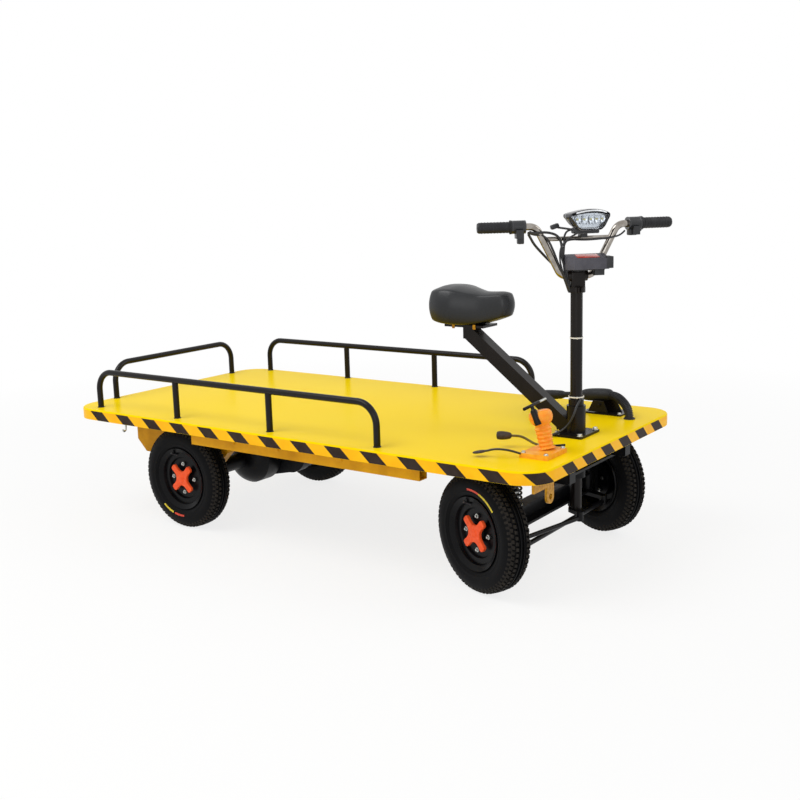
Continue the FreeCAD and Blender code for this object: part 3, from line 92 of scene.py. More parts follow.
def pick(obj, kind, test):  # leaves the object in edit mode with what passes the test selected
    makeActive(obj)
    bpy.ops.object.mode_set(mode="EDIT")
    bpy.ops.mesh.select_mode(type=kind)
    bpy.ops.mesh.select_all(action="DESELECT")
    objectMode()
    mesh = obj.data
    if kind == "FACE":
        for face in mesh.polygons:
            face.select = bool(test(face.center, face.normal))
    elif kind == "EDGE":
        for edge in mesh.edges:
            edge.select = bool(test(*[mesh.vertices[i].co for i in edge.vertices]))
    else:
        for vertex in mesh.vertices:
            vertex.select = bool(test(vertex.co))
    bpy.ops.object.mode_set(mode="EDIT")


def pickAll():  # the active object in edit mode with everything selected
    bpy.ops.object.mode_set(mode="EDIT")
    bpy.ops.mesh.select_all(action="SELECT")


def subdivide(cuts):
    bpy.ops.mesh.subdivide(number_cuts=cuts)
    objectMode()


def bevelPicked(offset, segments):
    bpy.ops.mesh.bevel(offset=offset, segments=segments, affect="EDGES")
    objectMode()


def bevelWhere(obj, test, offset, segments=2):  # bevels the edges whose two ends pass the test
    pick(obj, "EDGE", test)
    bevelPicked(offset, segments)


def level(p, q):  # an edge that lies flat
    return abs(p.z - q.z) < 1e-6


def addModifier(obj, kind, **settings):
    modifier = obj.modifiers.new(kind.title(), kind)
    for key, value in settings.items():
        setattr(modifier, key, value)


def smoothed(obj, levels):
    addModifier(obj, "SUBSURF", levels=levels, render_levels=levels)


def applyAll(obj):  # modifiers, then the place, into the mesh
    makeActive(obj)
    for modifier in list(obj.modifiers):
        bpy.ops.object.modifier_apply(modifier=modifier.name)
    bpy.ops.object.transform_apply(location=True, rotation=True, scale=True)
    return obj


def copyOf(obj, place):  # a copy with its own mesh, put in place
    twin = obj.copy()
    twin.data = obj.data.copy()
    bpy.context.scene.collection.objects.link(twin)
    twin.matrix_world = place @ obj.matrix_world
    return twin


def joined(objs):
    makeActive(*objs)
    if len(objs) > 1:
        bpy.ops.object.join()
    return bpy.context.object


def closeSeams(obj):  # merges doubles, then turns faces outwards
    makeActive(obj)
    pickAll()
    bpy.ops.mesh.remove_doubles(threshold=0.00002)
    bpy.ops.mesh.normals_make_consistent(inside=False)
    objectMode()
    return obj


def finishPiece(obj, name, finish, body, angle=35):
    applyAll(obj)
    bpy.ops.object.shade_smooth_by_angle(angle=math.radians(angle))
    obj.name = name
    obj.data.name = name
    obj.data.materials.clear()
    obj.data.materials.append(paint[finish])
    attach(obj, body)
    return obj


def shift(x, y, z):
    return Matrix.Translation((x, y, z))


def turn(degrees, axis):
    return Matrix.Rotation(math.radians(degrees), 4, axis)


def aimed(direction):  # turns the Z axis along a direction
    return direction.to_track_quat("Z", "Y").to_matrix().to_4x4()


def put(obj, *moves):  # moves are matrices, the last one first
    place = Matrix.Identity(4)
    for move in moves:
        place = place @ move
    obj.matrix_world = place @ obj.matrix_world
    return applyAll(obj)


# camera, solved from the deck's corners in the photograph
view = {"place": (2.3217, -3.016, 1.2119), "yaw": 35.901, "pitch": 11.176, "roll": -1.605, "lens": 48.303}
yaw, pitch, roll = (math.radians(view[key]) for key in ("yaw", "pitch", "roll"))
ahead = Vector((-math.sin(yaw) * math.cos(pitch), math.cos(yaw) * math.cos(pitch), -math.sin(pitch)))
flat = ahead.cross(Vector((0, 0, 1))).normalized()
upright = flat.cross(ahead)
right = math.cos(roll) * flat + math.sin(roll) * upright
above = -math.sin(roll) * flat + math.cos(roll) * upright
clearSelection()
bpy.ops.object.camera_add(location=view["place"])
camera = bpy.context.object
camera.matrix_world = Matrix.Translation(view["place"]) @ Matrix((right, above, -ahead)).transposed().to_4x4()
camera.data.lens = view["lens"]
camera.data.sensor_width = 36
bpy.context.scene.camera = camera

# floor, backdrop and light
studio = {"floorHex": "#f4f4f2", "floorRadius": 40, "white": 0.8, "fadeFrom": 1.6, "fadeTo": 4.0, "world": 0.62}
softboxes = {  # place, what it looks at, size and power
    "keySoftbox": ((-1.2, -2.6, 4.2), (0, 0, 0.4), (3.2, 2.4), 95),
    "fillSoftbox": ((3.6, 1.8, 3.2), (0.2, 0, 0.4), (2.6, 2.6), 34),
    "frontSoftbox": ((2.4, -4.2, 1.6), (0.2, 0, 0.4), (2.8, 1.8), 26),
}


def seenRays(tree):  # 1 for the rays that show the backdrop itself: camera, glossy and transmission
    rays = addNode(tree, "ShaderNodeLightPath").outputs
    seen = rays["Is Camera Ray"]
    for kind in ("Is Glossy Ray", "Is Transmission Ray"):
        seen = addNode(tree, "ShaderNodeMath", {"operation": "MAXIMUM"}, {0: seen, 1: rays[kind]}).outputs[0]
    return seen


world = bpy.data.worlds.new("studioWorld")
bpy.context.scene.world = world
world.use_nodes = True
air = world.node_tree
air.nodes.clear()
seen = seenRays(air)
dim = addNode(air, "ShaderNodeBackground", {"Color": (1, 1, 1, 1), "Strength": studio["world"]})
white = addNode(air, "ShaderNodeBackground", {"Color": (1, 1, 1, 1), "Strength": 1})
both = addNode(air, "ShaderNodeMixShader", {}, {0: seen, 1: dim.outputs[0], 2: white.outputs[0]})
addNode(air, "ShaderNodeOutputWorld", {}, {0: both.outputs[0]})

floorPaint = bpy.data.materials.new("paleStudioFloor")
floorPaint.use_nodes = True
tree = floorPaint.node_tree
tree.nodes.clear()
seen = seenRays(tree)
spot = addNode(tree, "ShaderNodeTexCoord").outputs["Object"]
far = addNode(tree, "ShaderNodeVectorMath", {"operation": "LENGTH"}, {0: spot})
reach = {1: studio["fadeFrom"], 2: studio["fadeTo"], 3: studio["white"], 4: 1.0}
fade = addNode(tree, "ShaderNodeMapRange", reach, {0: far.outputs["Value"]})
share = addNode(tree, "ShaderNodeMath", {"operation": "MULTIPLY"}, {0: seen, 1: fade.outputs[0]})
matt = addNode(tree, "ShaderNodeBsdfDiffuse", {"Color": linear(studio["floorHex"])})
glow = addNode(tree, "ShaderNodeEmission", {"Color": (1, 1, 1, 1), "Strength": 1})
both = addNode(tree, "ShaderNodeMixShader", {}, {0: share.outputs[0], 1: matt.outputs[0], 2: glow.outputs[0]})
addNode(tree, "ShaderNodeOutputMaterial", {}, {0: both.outputs[0]})

floor = start("circle", vertices=96, radius=studio["floorRadius"], fill_type="NGON")
applyAll(floor)
bpy.ops.object.shade_smooth()
floor.name = "studioFloor"
floor.data.materials.append(floorPaint)
for name, (place, aim, size, power) in softboxes.items():
    clearSelection()
    bpy.ops.object.light_add(type="AREA", location=place)
    light = bpy.context.object
    light.name = name
    light.data.shape = "RECTANGLE"
    light.data.size, light.data.size_y = size
    light.data.energy = power
    light.rotation_euler = (Vector(aim) - Vector(place)).to_track_quat("-Z", "Y").to_euler()
bpy.context.scene.view_settings.view_transform = "Standard"
print("camera, floor and light set")

# finishes
# Each row: the two hexes that the colour drifts between; size of that drift, mm; size and height of the fine
# bumps, mm; lowest and highest roughness; specular level; other settings of the shader.
finishes = {
    # enamel sprayed on pressed sheet: bright, wet-looking, with a faint orange-peel ripple
    "deckEnamel": ("#fdda06", "#fbd505", 900, (7, 0.01), (0.28, 0.3), 0.015),
    # primer and one coat of ochre enamel on mild steel: thinner, dustier, duller in the shade
    "frameEnamel": ("#d99c0e", "#bf850a", 90, (3, 0.03), (0.36, 0.5), 0.12),
    # powder coat on square and round steel tube: close pebble, satin; the brown in its black is a painted
    # reflection of the floor
    "blackPowderCoat": ("#16100d", "#0e0a08", 60, (1.6, 0.03), (0.24, 0.34), 0.2),
    # stoved gloss black on bent guard tube: a soft bright line along the top
    "railEnamel": ("#120d0b", "#0c0908", 80, (4, 0.015), (0.22, 0.3), 0.22),
    # brushed-on orange-red enamel over the cast hub: thick, a little uneven
    "hubEnamel": ("#f9602f", "#f05224", 14, (3, 0.05), (0.34, 0.46), 0.15),
    # dipped black on axle forgings and pressings: satin, slightly grey with handling
    "axleBlack": ("#08080a", "#101012", 35, (2.2, 0.07), (0.3, 0.45), 0.14),
    # wheel disc enamel: deep black with a soft sheen on its steps
    "wheelEnamel": ("#050507", "#0a0a0c", 45, (3, 0.02), (0.26, 0.36), 0.12),
    # sand-cast aluminium motor and gear case, painted dark grey: open grain
    "castMotorCase": ("#111214", "#1b1c1f", 22, (1.1, 0.12), (0.42, 0.6), 0.2),
    # bright chromium plate on bent tube: mirror-like, barely marked
    "chromePlate": ("#a8a39c", "#8d867e", 14, (30, 0.01), (0.05, 0.1), 0.5, {"Metallic": 1.0}),
    # dipped black spring wire
    "springBlack": ("#141519", "#1d1e22", 20, (1.5, 0.03), (0.28, 0.4)),
    # zinc plate on nuts, pins and rods: cool grey, faint cloudiness
    "zincPlate": ("#c9c9c4", "#a9aaa6", 6, (0.8, 0.02), (0.24, 0.4), 0.5, {"Metallic": 1.0}),
    # yellow passivated zinc: straw to gold
    "goldPassivate": ("#c8921a", "#a87410", 9, (1, 0.02), (0.3, 0.45), 0.25, {"Metallic": 0.3}),
    # moulded rubber grips
    "gripRubber": ("#1a1b1e", "#131316", 18, (0.9, 0.05), (0.46, 0.6), 0.35),
    # moulded rubber pedal pad, brown with dust
    "pedalRubber": ("#3a2d22", "#2a211a", 10, (1.2, 0.08), (0.62, 0.8)),
    # ABS housing, spark-textured tool: fine even stipple, grey with light
    "texturedAbs": ("#56555c", "#4d4c53", 30, (1.0, 0.05), (0.46, 0.58), 0.2),
    # black ABS switch bodies
    "blackAbs": ("#1f2024", "#17181b", 18, (1.0, 0.04), (0.36, 0.5)),
    # polished ABS lamp shell
    "glossAbs": ("#17181c", "#1e2026", 30, (9, 0.01), (0.12, 0.2), 0.5,
                 {"Coat Weight": 0.4, "Coat Roughness": 0.08}),
    # battery case, polypropylene: waxy black
    "batteryCase": ("#1b1b1d", "#242427", 40, (1.4, 0.05), (0.48, 0.62)),
    # orange enamel on the pedal plate, thinner at the edges so the yellow comes through
    "plateEnamel": ("#fab637", "#f19c2a", 16, (2.4, 0.05), (0.3, 0.42), 0.15),
    # cable sheath, soft PVC: black, satin
    "cableSheath": ("#161618", "#1e1e21", 14, (1.2, 0.02), (0.34, 0.46)),
    # bright-drawn rod with a film of oil: olive grey
    "pedalRod": ("#6e6638", "#58512c", 8, (1.0, 0.02), (0.32, 0.44), 0.5, {"Metallic": 0.4}),
    # ribbed boot of soft orange PVC: light sinks in a little and glows at the ribs
    "bootPvc": ("#ffa834", "#fd9326", 12, (1.6, 0.05), (0.34, 0.46), 0.25,
                {"Subsurface Weight": 0.3, "Subsurface Scale": 0.008}),
    # tread rubber: near-black with carbon, low sheen, a little grey where the mould rubbed it
    "tyreRubber": ("#060607", "#0b0b0d", 28, (1.4, 0.05), (0.5, 0.62), 0.08),
    # the tops of the tread blocks, coloured a lighter greyish brown as a painted highlight on the blocks
    "treadPaintedHighlight": ("#2b2723", "#1b1917", 9, (1.2, 0.06), (0.6, 0.75), 0.1),
    # sidewall marks: coloured rubber let into the wall
    "markYellow": ("#e4cf2c", "#c9b124", 8, (1, 0.03), (0.5, 0.6)),
    "markRed": ("#e0452c", "#c53a24", 8, (1, 0.03), (0.5, 0.6)),
    # self-adhesive reflective tape: amber and black, printed, slightly satin, with a fine bead texture
    "tapeAmber": ("#fec012", "#fdb50d", 60, (1.2, 0.02), (0.34, 0.44), 0.12),
    "tapeBlack": ("#2f251f", "#3a302b", 40, (1.2, 0.02), (0.4, 0.5), 0.06),
    # embossed PVC leathercloth over foam: near-black, satin, fine grain, a soft grey light along its shoulder
    "saddleVinyl": ("#14161a", "#0f1115", 55, (0.9, 0.05), (0.34, 0.42), 0.42),
    # vacuum-plated reflector cups: bright, softly blurred
    "reflectorPlate": ("#eceef0", "#d4d6da", 8, (6, 0.01), (0.22, 0.3), 0.5, {"Metallic": 0.85}),
    # yellow phosphor over each light chip
    "ledPhosphor": ("#f4e7a4", "#ead98c", 3, (1, 0.02), (0.4, 0.5)),
    # red filter strip over the meter's lights
    "redAcrylic": ("#c8402e", "#a83224", 20, (6, 0.01), (0.12, 0.2), 0.5, {"Coat Weight": 0.3}),
    # nylon ties, natural white
    "nylonTie": ("#e9e7df", "#dad7cc", 6, (0.8, 0.02), (0.35, 0.45)),
    # red PVC tape on the far guard tube
    "redTape": ("#c9302a", "#b52823", 10, (1, 0.02), (0.35, 0.45)),
}


def makeFinish(name, colour, shade, patch, grain, rough, specular=0.5, settings=None):
    finish = bpy.data.materials.new(name)
    finish.use_nodes = True
    tree = finish.node_tree
    shader = tree.nodes["Principled BSDF"]
    for socket, value in {"Specular IOR Level": specular, **(settings or {})}.items():
        shader.inputs[socket].default_value = value
    where = addNode(tree, "ShaderNodeTexCoord").outputs["Object"]
    drift = addNode(tree, "ShaderNodeTexNoise", {"Scale": 1000 / patch, "Detail": 3, "Roughness": 0.55},
                    {"Vector": where}).outputs["Fac"]
    even = addNode(tree, "ShaderNodeMapRange", {1: 0.35, 2: 0.65}, {0: drift})
    tint = addNode(tree, "ShaderNodeMix", {"data_type": "RGBA", 6: linear(colour), 7: linear(shade)},
                   {0: even.outputs[0]})
    polish = addNode(tree, "ShaderNodeMapRange", {1: 0.3, 2: 0.7, 3: rough[0], 4: rough[1]}, {0: drift})
    fine = addNode(tree, "ShaderNodeTexNoise", {"Scale": 1000 / grain[0], "Detail": 2}, {"Vector": where})
    bump = addNode(tree, "ShaderNodeBump", {"Strength": 0.6, "Distance": grain[1] / 1000},
                   {"Height": fine.outputs["Fac"]})
    tree.links.new(tint.outputs[2], shader.inputs["Base Color"])
    tree.links.new(polish.outputs[0], shader.inputs["Roughness"])
    tree.links.new(bump.outputs[0], shader.inputs["Normal"])
    return finish


paint = {name: makeFinish(name, *row) for name, row in finishes.items()}

# clear polycarbonate lens: almost colourless, a slight cool tint at its edge
clear = {"Base Color": linear("#f3f7fb"), "Roughness": 0.02, "IOR": 1.3, "Transmission Weight": 1.0}
paint["clearPolycarbonate"] = bpy.data.materials.new("clearPolycarbonate")
paint["clearPolycarbonate"].use_nodes = True
tree = paint["clearPolycarbonate"].node_tree
shader = tree.nodes["Principled BSDF"]
for socket, value in clear.items():
    shader.inputs[socket].default_value = value
spot = addNode(tree, "ShaderNodeTexCoord").outputs["Object"]
flow = addNode(tree, "ShaderNodeTexNoise", {"Scale": 40, "Detail": 1}, {"Vector": spot}).outputs["Fac"]
bump = addNode(tree, "ShaderNodeBump", {"Strength": 0.05, "Distance": 0.0001}, {"Height": flow})
tree.links.new(bump.outputs[0], shader.inputs["Normal"])
print("finishes made:", len(paint))

wheels = ("front_right", "front_left", "rear_right", "rear_left")
wears = {
    "deckEnamel": ["deck_pan"],
    "frameEnamel": ["crossmembers", "edge_tubes", "rear_boxes"],
    "railEnamel": ["guard_right", "guard_left", "guard_rear"],
    "batteryCase": ["battery_box"],
    # main_rails take this black as painted shade, darkened to the shadow under the front of the deck
    "axleBlack": ["rear_axle", "front_axle_beam", "knuckle_right", "knuckle_left", "tie_rod", "pitman_arm",
                  "drag_link", "battery_cradle", "steering_carrier", "main_rails"],
    "castMotorCase": ["drive_motor"],
    "springBlack": ["front_dampers"],
    "blackPowderCoat": ["column_housing", "column_tube", "seat_arm", "seat_bracket", "brake_bracket",
                        "lever_handle"],
    "chromePlate": ["handlebar"],
    "glossAbs": ["headlight_shell"],
    "texturedAbs": ["meter_box"],
    "gripRubber": ["grips", "brake_lever"] + ["tyre_" + wheel for wheel in wheels],
    "blackAbs": ["bar_switches"],
    "goldPassivate": ["tow_bracket"],
    "plateEnamel": ["pedal_plate"],
    "bootPvc": ["lever_boot"],
    "cableSheath": ["column_harness", "deck_harness"],
    "pedalRubber": ["pedals"],
    "wheelEnamel": ["rim_" + wheel for wheel in wheels],
    "hubEnamel": ["hub_" + wheel for wheel in wheels],
}
for finishName, names in wears.items():
    for nodeName in names:
        nodes[nodeName].data.materials.clear()
        nodes[nodeName].data.materials.append(paint[finishName])
print("CAD nodes finished")


# shapes that repeat
def drawLine(points):  # a chain of edges, extruded point by point
    line = start("plane", size=0.001)
    bpy.ops.object.mode_set(mode="EDIT")
    bpy.ops.mesh.select_mode(type="VERT")
    bpy.ops.mesh.merge(type="CENTER")
    bpy.ops.transform.translate(value=points[0])
    for a, b in zip(points, points[1:]):
        bpy.ops.mesh.extrude_vertices_move(TRANSFORM_OT_translate={"value": Vector(b) - Vector(a)})
    objectMode()
    return line


def spun(profile, steps, axis="Z", sweep=360):  # a turned shape; its half section is radius and height, mm
    if axis == "Z":
        line = drawLine([(r / 1000, 0, h / 1000) for r, h in profile])
    else:
        line = drawLine([(0, h / 1000, r / 1000) for r, h in profile])
    bpy.ops.object.mode_set(mode="EDIT")
    bpy.ops.mesh.select_mode(type="VERT")
    bpy.ops.mesh.select_all(action="SELECT")
    bpy.ops.mesh.spin(steps=steps, angle=math.radians(sweep), center=(0, 0, 0),
                      axis=(0, 0, 1) if axis == "Z" else (0, 1, 0))
    objectMode()
    return closeSeams(line)


def softBlock(size, bevel, segments=2, centre=(0, 0, 0)):  # a block with its edges rounded in edit mode
    block = start("cube", size=1, location=centre, scale=size)
    applyAll(block)
    pickAll()
    bevelPicked(bevel, segments)
    return block


def blockAt(place, at, size, bevel, segments=2):  # a soft block in a frame of its own
    return put(softBlock(size, bevel, segments), place, shift(*at))


def copies(shape, places):  # the shape copied to each place, then taken away
    twins = [copyOf(shape, place) for place in places]
    discard(shape)
    return twins


def roundBar(a, b, radius, sides=24, bevel=0.0008):  # a rod between two points, its ends broken
    a, b = Vector(a), Vector(b)
    bar = start("cylinder", vertices=sides, radius=radius, depth=(b - a).length)
    bevelWhere(bar, level, bevel)
    return put(bar, shift(*((a + b) / 2)), aimed(b - a))


def hexagon(across, thick, base, rims, share):  # a hex prism standing at base, its rims broken
    prism = start("cylinder", vertices=6, radius=across / 2 / math.cos(math.pi / 6), depth=thick,
                  location=(0, 0, thick / 2 + base))
    bevelWhere(prism, rims, thick * share)
    return applyAll(prism)


def nutAndStud(across, thick, studRadius, studLength):  # stands on z = 0
    nut = hexagon(across, thick, 0, level, 0.12)
    stud = roundBar((0, 0, thick * 0.5), (0, 0, thick + studLength), studRadius, 16, studRadius * 0.25)
    return joined([nut, stud])


def boltHead(across, thick, washer):  # hex head on a washer, stands on z = 0
    head = hexagon(across, thick, 0.0012, lambda p, q: p.z > 0 and q.z > 0 and level(p, q), 0.16)
    ring = start("cylinder", vertices=28, radius=washer, depth=0.0015, location=(0, 0, 0.00075))
    bevelWhere(ring, lambda p, q: p.z > 0 and q.z > 0, 0.0004, 1)
    applyAll(ring)
    return joined([head, ring])


def bolts(name, places, body, across, thick, washer):  # one bolt head copied to each place
    heads = copies(boltHead(across, thick, washer), places)
    finishPiece(joined(heads), name, "zincPlate", body)


def splineCurve(name, points, resolution, place):  # points in mm
    line = bpy.data.curves.new(name, "CURVE")
    line.dimensions = "3D"
    spline = line.splines.new("NURBS")
    spline.points.add(len(points) - 1)
    for knot, point in zip(spline.points, points):
        knot.co = (*(place @ Vector([c / 1000 for c in point])), 1)
    spline.order_u = 3
    spline.use_endpoint_u = True
    spline.resolution_u = resolution
    curve = bpy.data.objects.new(name, line)
    bpy.context.scene.collection.objects.link(curve)
    return curve


def cable(name, points, radius, finish, body, sides=5, place=Matrix.Identity(4)):
    # a held lead or rod, along one smooth spline
    tube = splineCurve(name, points, 10, place)
    tube.data.bevel_depth = radius
    tube.data.bevel_resolution = sides
    tube.data.use_fill_caps = True
    makeActive(tube)
    bpy.ops.object.convert(target="MESH")
    finishPiece(bpy.context.object, name, finish, body, angle=50)


# tyres
tyre = {
    # half section, mm from the wheel's middle plane and from its axis
    "wall": [(0, 182), (4, 182), (4.8, 186.9), (8.5, 186.8), (9.2, 181.6), (11.6, 181.4), (12.2, 186.2),
             (13.4, 186.1), (14, 181), (25, 180), (26, 183.4), (27.2, 183.1), (28, 178.5), (33, 176), (38, 171),
             (41.5, 163), (43.8, 155), (44.9, 147), (44.6, 139), (43.2, 131), (43.6, 129.5), (42.6, 128),
             (40.6, 123), (38.4, 118.4), (36.4, 116.6), (35, 114.6), (33, 113.4), (31, 106), (28, 102.5),
             (0, 102.5)],
    "pitches": 68, "steps": 136, "treadRadius": 0.184, "blockDepth": 0.008, "blockBevel": 0.0007,
    # three blocks to a pitch on each side, inner rib, outer rib and shoulder lug: from and to across the tread,
    # top, share of the pitch, lean, phase, and how far the outer edge falls away with the shoulder
    "blocks": [(0.0145, 0.0245, 0.1857, 0.62, 0.0022, 0.0, 0),
               (0.0280, 0.0345, 0.1832, 0.66, 0.0018, 0.5, 0.004),
               (0.0335, 0.0400, 0.1772, 0.50, 0.0, 0.15, 0.007)],
}


def makeTyre():
    wall = tyre["wall"]
    carcass = spun([(r, -y) for y, r in reversed(wall)] + [(r, y) for y, r in wall[1:]], tyre["steps"], "Y")
    blocks = []
    pitch = 360 / tyre["pitches"]
    arc = 2 * math.pi * tyre["treadRadius"] / tyre["pitches"]
    for low, high, top, share, lean, phase, fall in tyre["blocks"]:
        block = start("cube", size=1, location=(0, (low + high) / 2, top - tyre["blockDepth"] / 2),
                      scale=(arc * share, high - low, tyre["blockDepth"]))
        applyAll(block)
        pick(block, "VERT", lambda co: co.y > (low + high) / 2)
        bpy.ops.transform.translate(value=(lean, 0, -fall))
        bpy.ops.mesh.select_all(action="SELECT")
        bevelPicked(tyre["blockBevel"], 1)
        for index in range(tyre["pitches"]):
            blocks.append(copyOf(block, turn((index + phase) * pitch, "Y")))
            mirrored = turn((index + phase + 0.5) * pitch, "Y") @ Matrix.Diagonal((-1, -1, 1, 1))
            blocks.append(copyOf(block, mirrored))
        discard(block)
    return applyAll(carcass), applyAll(joined(blocks))


wheelPlaces = {  # where each wheel's centre is, how its outer face is turned, and how far it has rolled
    "front_right": ((0.6955, -0.3631, 0.187), 160, 14),
    "front_left": ((0.7399, 0.3631, 0.187), -20, 51),
    "rear_right": ((-0.5713, -0.367, 0.187), 180, 0),
    "rear_left": ((-0.5713, 0.367, 0.187), 0, 33),
}
outerFaces = {wheel: shift(*centre) @ turn(facing, "Z")
              for wheel, (centre, facing, rolled) in wheelPlaces.items()}
oneTyre, oneTread = makeTyre()
for wheel, face in outerFaces.items():
    place = face @ turn(wheelPlaces[wheel][2], "Y")
    carcass, tread = copyOf(oneTyre, place), copyOf(oneTread, place)
    finishPiece(carcass, "tyre_body_" + wheel, "tyreRubber", "wheel_" + wheel, angle=30)
    finishPiece(tread, "tread_blocks_" + wheel, "treadPaintedHighlight", "wheel_" + wheel, angle=30)
    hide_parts("tyre_" + wheel)
discard(oneTyre, oneTread)

wheelTrim = {"nutCircle": 0.053, "nutFace": 0.0145, "across": 0.014, "nutThick": 0.008, "studRadius": 0.004,
             "studLength": 0.005, "valveAt": (0, 0.016, 0.086), "valveTurn": 20, "valveLean": -62}
valveProfile = [(0, 0), (5.2, 0), (5.2, 6), (3.6, 9), (3.6, 24), (4.2, 24.5), (4.2, 31), (3, 32.5), (0, 32.5)]
oneNut = nutAndStud(*[wheelTrim[key] for key in ("across", "nutThick", "studRadius", "studLength")])
for wheel, place in outerFaces.items():
    spot = shift(0, wheelTrim["nutFace"], wheelTrim["nutCircle"])
    nuts = [copyOf(oneNut, place @ turn(90 * k, "Y") @ spot @ turn(-90, "X")) for k in range(4)]
    finishPiece(joined(nuts), "wheel_nuts_" + wheel, "zincPlate", "wheel_" + wheel)
    stem = spun(valveProfile, 20)
    put(stem, place, turn(wheelTrim["valveTurn"], "Y"), shift(*wheelTrim["valveAt"]),
        turn(wheelTrim["valveLean"], "X"))
    finishPiece(stem, "valve_" + wheel, "blackAbs", "wheel_" + wheel)
discard(oneNut)

# the hub and its four-armed star
star = {"back": 0.0255, "front": 0.0350, "bevel": 0.0013,
        # half an arm: how far out, and half its width
        "arm": [(0.0225, 0.0150), (0.0290, 0.0122), (0.0400, 0.0110), (0.0480, 0.0118), (0.0545, 0.0120),
                (0.0590, 0.0098), (0.0612, 0.0050)],
        "crown": [(0, 34), (16.5, 34), (15, 35.3), (9, 36), (0, 36.2)],
        "hub": [(0, -27), (30, -27), (30, 18), (29, 19.5), (25.5, 20), (22.5, 25.5), (0, 26)]}
arm = [(x, -z) for x, z in star["arm"]] + [(x, z) for x, z in reversed(star["arm"])]
plate = drawLine([turn(-45 - 90 * k, "Y") @ Vector((x, star["back"], z)) for k in range(4) for x, z in arm])
pickAll()
bpy.ops.mesh.edge_face_add()
bpy.ops.mesh.extrude_region_move(TRANSFORM_OT_translate={"value": (0, star["front"] - star["back"], 0)})
objectMode()
closeSeams(plate)
rim = star["front"] - 0.0001
bevelWhere(plate, lambda p, q: p.y > rim and q.y > rim, star["bevel"])
oneStar = joined([plate, spun(star["crown"], 40, "Y")])
oneHub = spun(star["hub"], 44, "Y")
for wheel, place in outerFaces.items():
    hub = finishPiece(copyOf(oneHub, place), "hub_body_" + wheel, "wheelEnamel", "wheel_" + wheel)
    finishPiece(copyOf(oneStar, place), "hub_star_" + wheel, "hubEnamel", "wheel_" + wheel)
    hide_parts("hub_" + wheel)
discard(oneStar, oneHub)

sideMarks = {  # near sidewalls only: where each coloured arc starts, degrees from the top, and its length
    "rear_right": [("markYellow", 162, 22), ("markRed", 185, 20)],
    "front_right": [("markRed", 340, -27), ("markYellow", 312, -33)],
}
markProfile = [(134.5, 43.4), (135, 44.8), (141.2, 45.2), (142, 44), (134.5, 43.4)]
for wheel, marks in sideMarks.items():
    for mark, begin, length in marks:
        strip = put(spun(markProfile, 18, "Y", length), outerFaces[wheel], turn(begin, "Y"))
        finishPiece(strip, mark + "_" + wheel, mark, "wheel_" + wheel)
print("tyres made")

# hazard tape round the skirt, near corner stripes laid round the corner
tape = {"corner": 0.1, "low": 0.3905, "high": 0.4245, "thick": 0.0003, "slant": 0.038, "wide": 0.066,
        "nearFirst": -0.9333, "nearStep": 0.1415, "nearCount": 14,
        "frontFirst": -0.36, "frontStep": 0.127, "frontCount": 6}
deckLow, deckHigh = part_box("deck_pan")
band = start("cube", size=1, location=((deckLow.x + deckHigh.x) / 2, 0, (tape["low"] + tape["high"]) / 2),
             scale=(deckHigh.x - deckLow.x, deckHigh.y - deckLow.y, tape["high"] - tape["low"]))
applyAll(band)
bevelWhere(band, lambda p, q: abs(p.z - q.z) > 0.01, tape["corner"], 12)
pick(band, "FACE", lambda centre, normal: abs(normal.z) > 0.9)
bpy.ops.mesh.delete(type="FACE")
objectMode()
addModifier(band, "SOLIDIFY", thickness=tape["thick"] / 2, offset=1)
finishPiece(band, "hazard_tape", "tapeAmber", "chassis", angle=20)


def stripe():  # one slanted black patch, seen from the near side, its top left corner at the origin
    height = tape["high"] - tape["low"]
    patch = start("cube", size=1, location=(tape["wide"] / 2, 0, -height / 2),
                  scale=(tape["wide"], tape["thick"], height))
    applyAll(patch)
    pick(patch, "VERT", lambda co: co.z < -height / 2)
    bpy.ops.transform.translate(value=(tape["slant"], 0, 0))
    objectMode()
    pick(patch, "EDGE", lambda p, q: (p - q).length > 0.01)
    subdivide(7)
    return patch


def roundCorner(patch):  # lays what runs past the straight edge round the deck's near front corner
    applyAll(patch)
    radius = tape["corner"]
    for vertex in patch.data.vertices:
        past = vertex.co.x - (deckHigh.x - radius)
        if past > 0:
            reach = radius + deckLow.y - vertex.co.y
            vertex.co.x = deckHigh.x - radius + reach * math.sin(past / radius)
            vertex.co.y = deckLow.y + radius - reach * math.cos(past / radius)
    return patch


patch = stripe()
near = [roundCorner(copyOf(patch, shift(tape["nearFirst"] + tape["nearStep"] * k, deckLow.y - tape["thick"],
                                        tape["high"]))) for k in range(tape["nearCount"])]
about = shift(deckLow.x + deckHigh.x, 0, 0) @ turn(180, "Z")  # half a turn about the deck's middle
far = [copyOf(p, about) for p in near]
front = [copyOf(patch, shift(deckHigh.x + tape["thick"] * 0.6, tape["frontFirst"] + tape["frontStep"] * k,
                             tape["high"]) @ turn(90, "Z")) for k in range(tape["frontCount"])]
rear = [copyOf(p, about) for p in front]
stripes = joined(near + far + front + rear)
finishPiece(stripes, "hazard_stripes", "tapeBlack", "chassis", angle=20)
discard(patch)
print("tape laid")

# saddle
saddleLow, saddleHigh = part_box("saddle")
saddle = {
    # along the seat, 0 at the tail and 1 at the nose: half width, under side and top, mm
    "stations": [(0.00, 70, 26, 104), (0.08, 88, 10, 122), (0.2, 99, 2, 130), (0.34, 96, 0, 130),
                 (0.5, 76, 0, 118), (0.64, 56, 6, 109), (0.78, 46, 16, 110), (0.9, 42, 28, 112),
                 (1.0, 36, 38, 104)],
    # rows of quads, how much the cube swells to a cushion, the crown along its middle, and how far it is set in
    "cuts": 11, "swell": 0.26, "crown": 0.003, "tailInset": 0.016, "lengthInset": 0.018, "drop": 0.004,
}


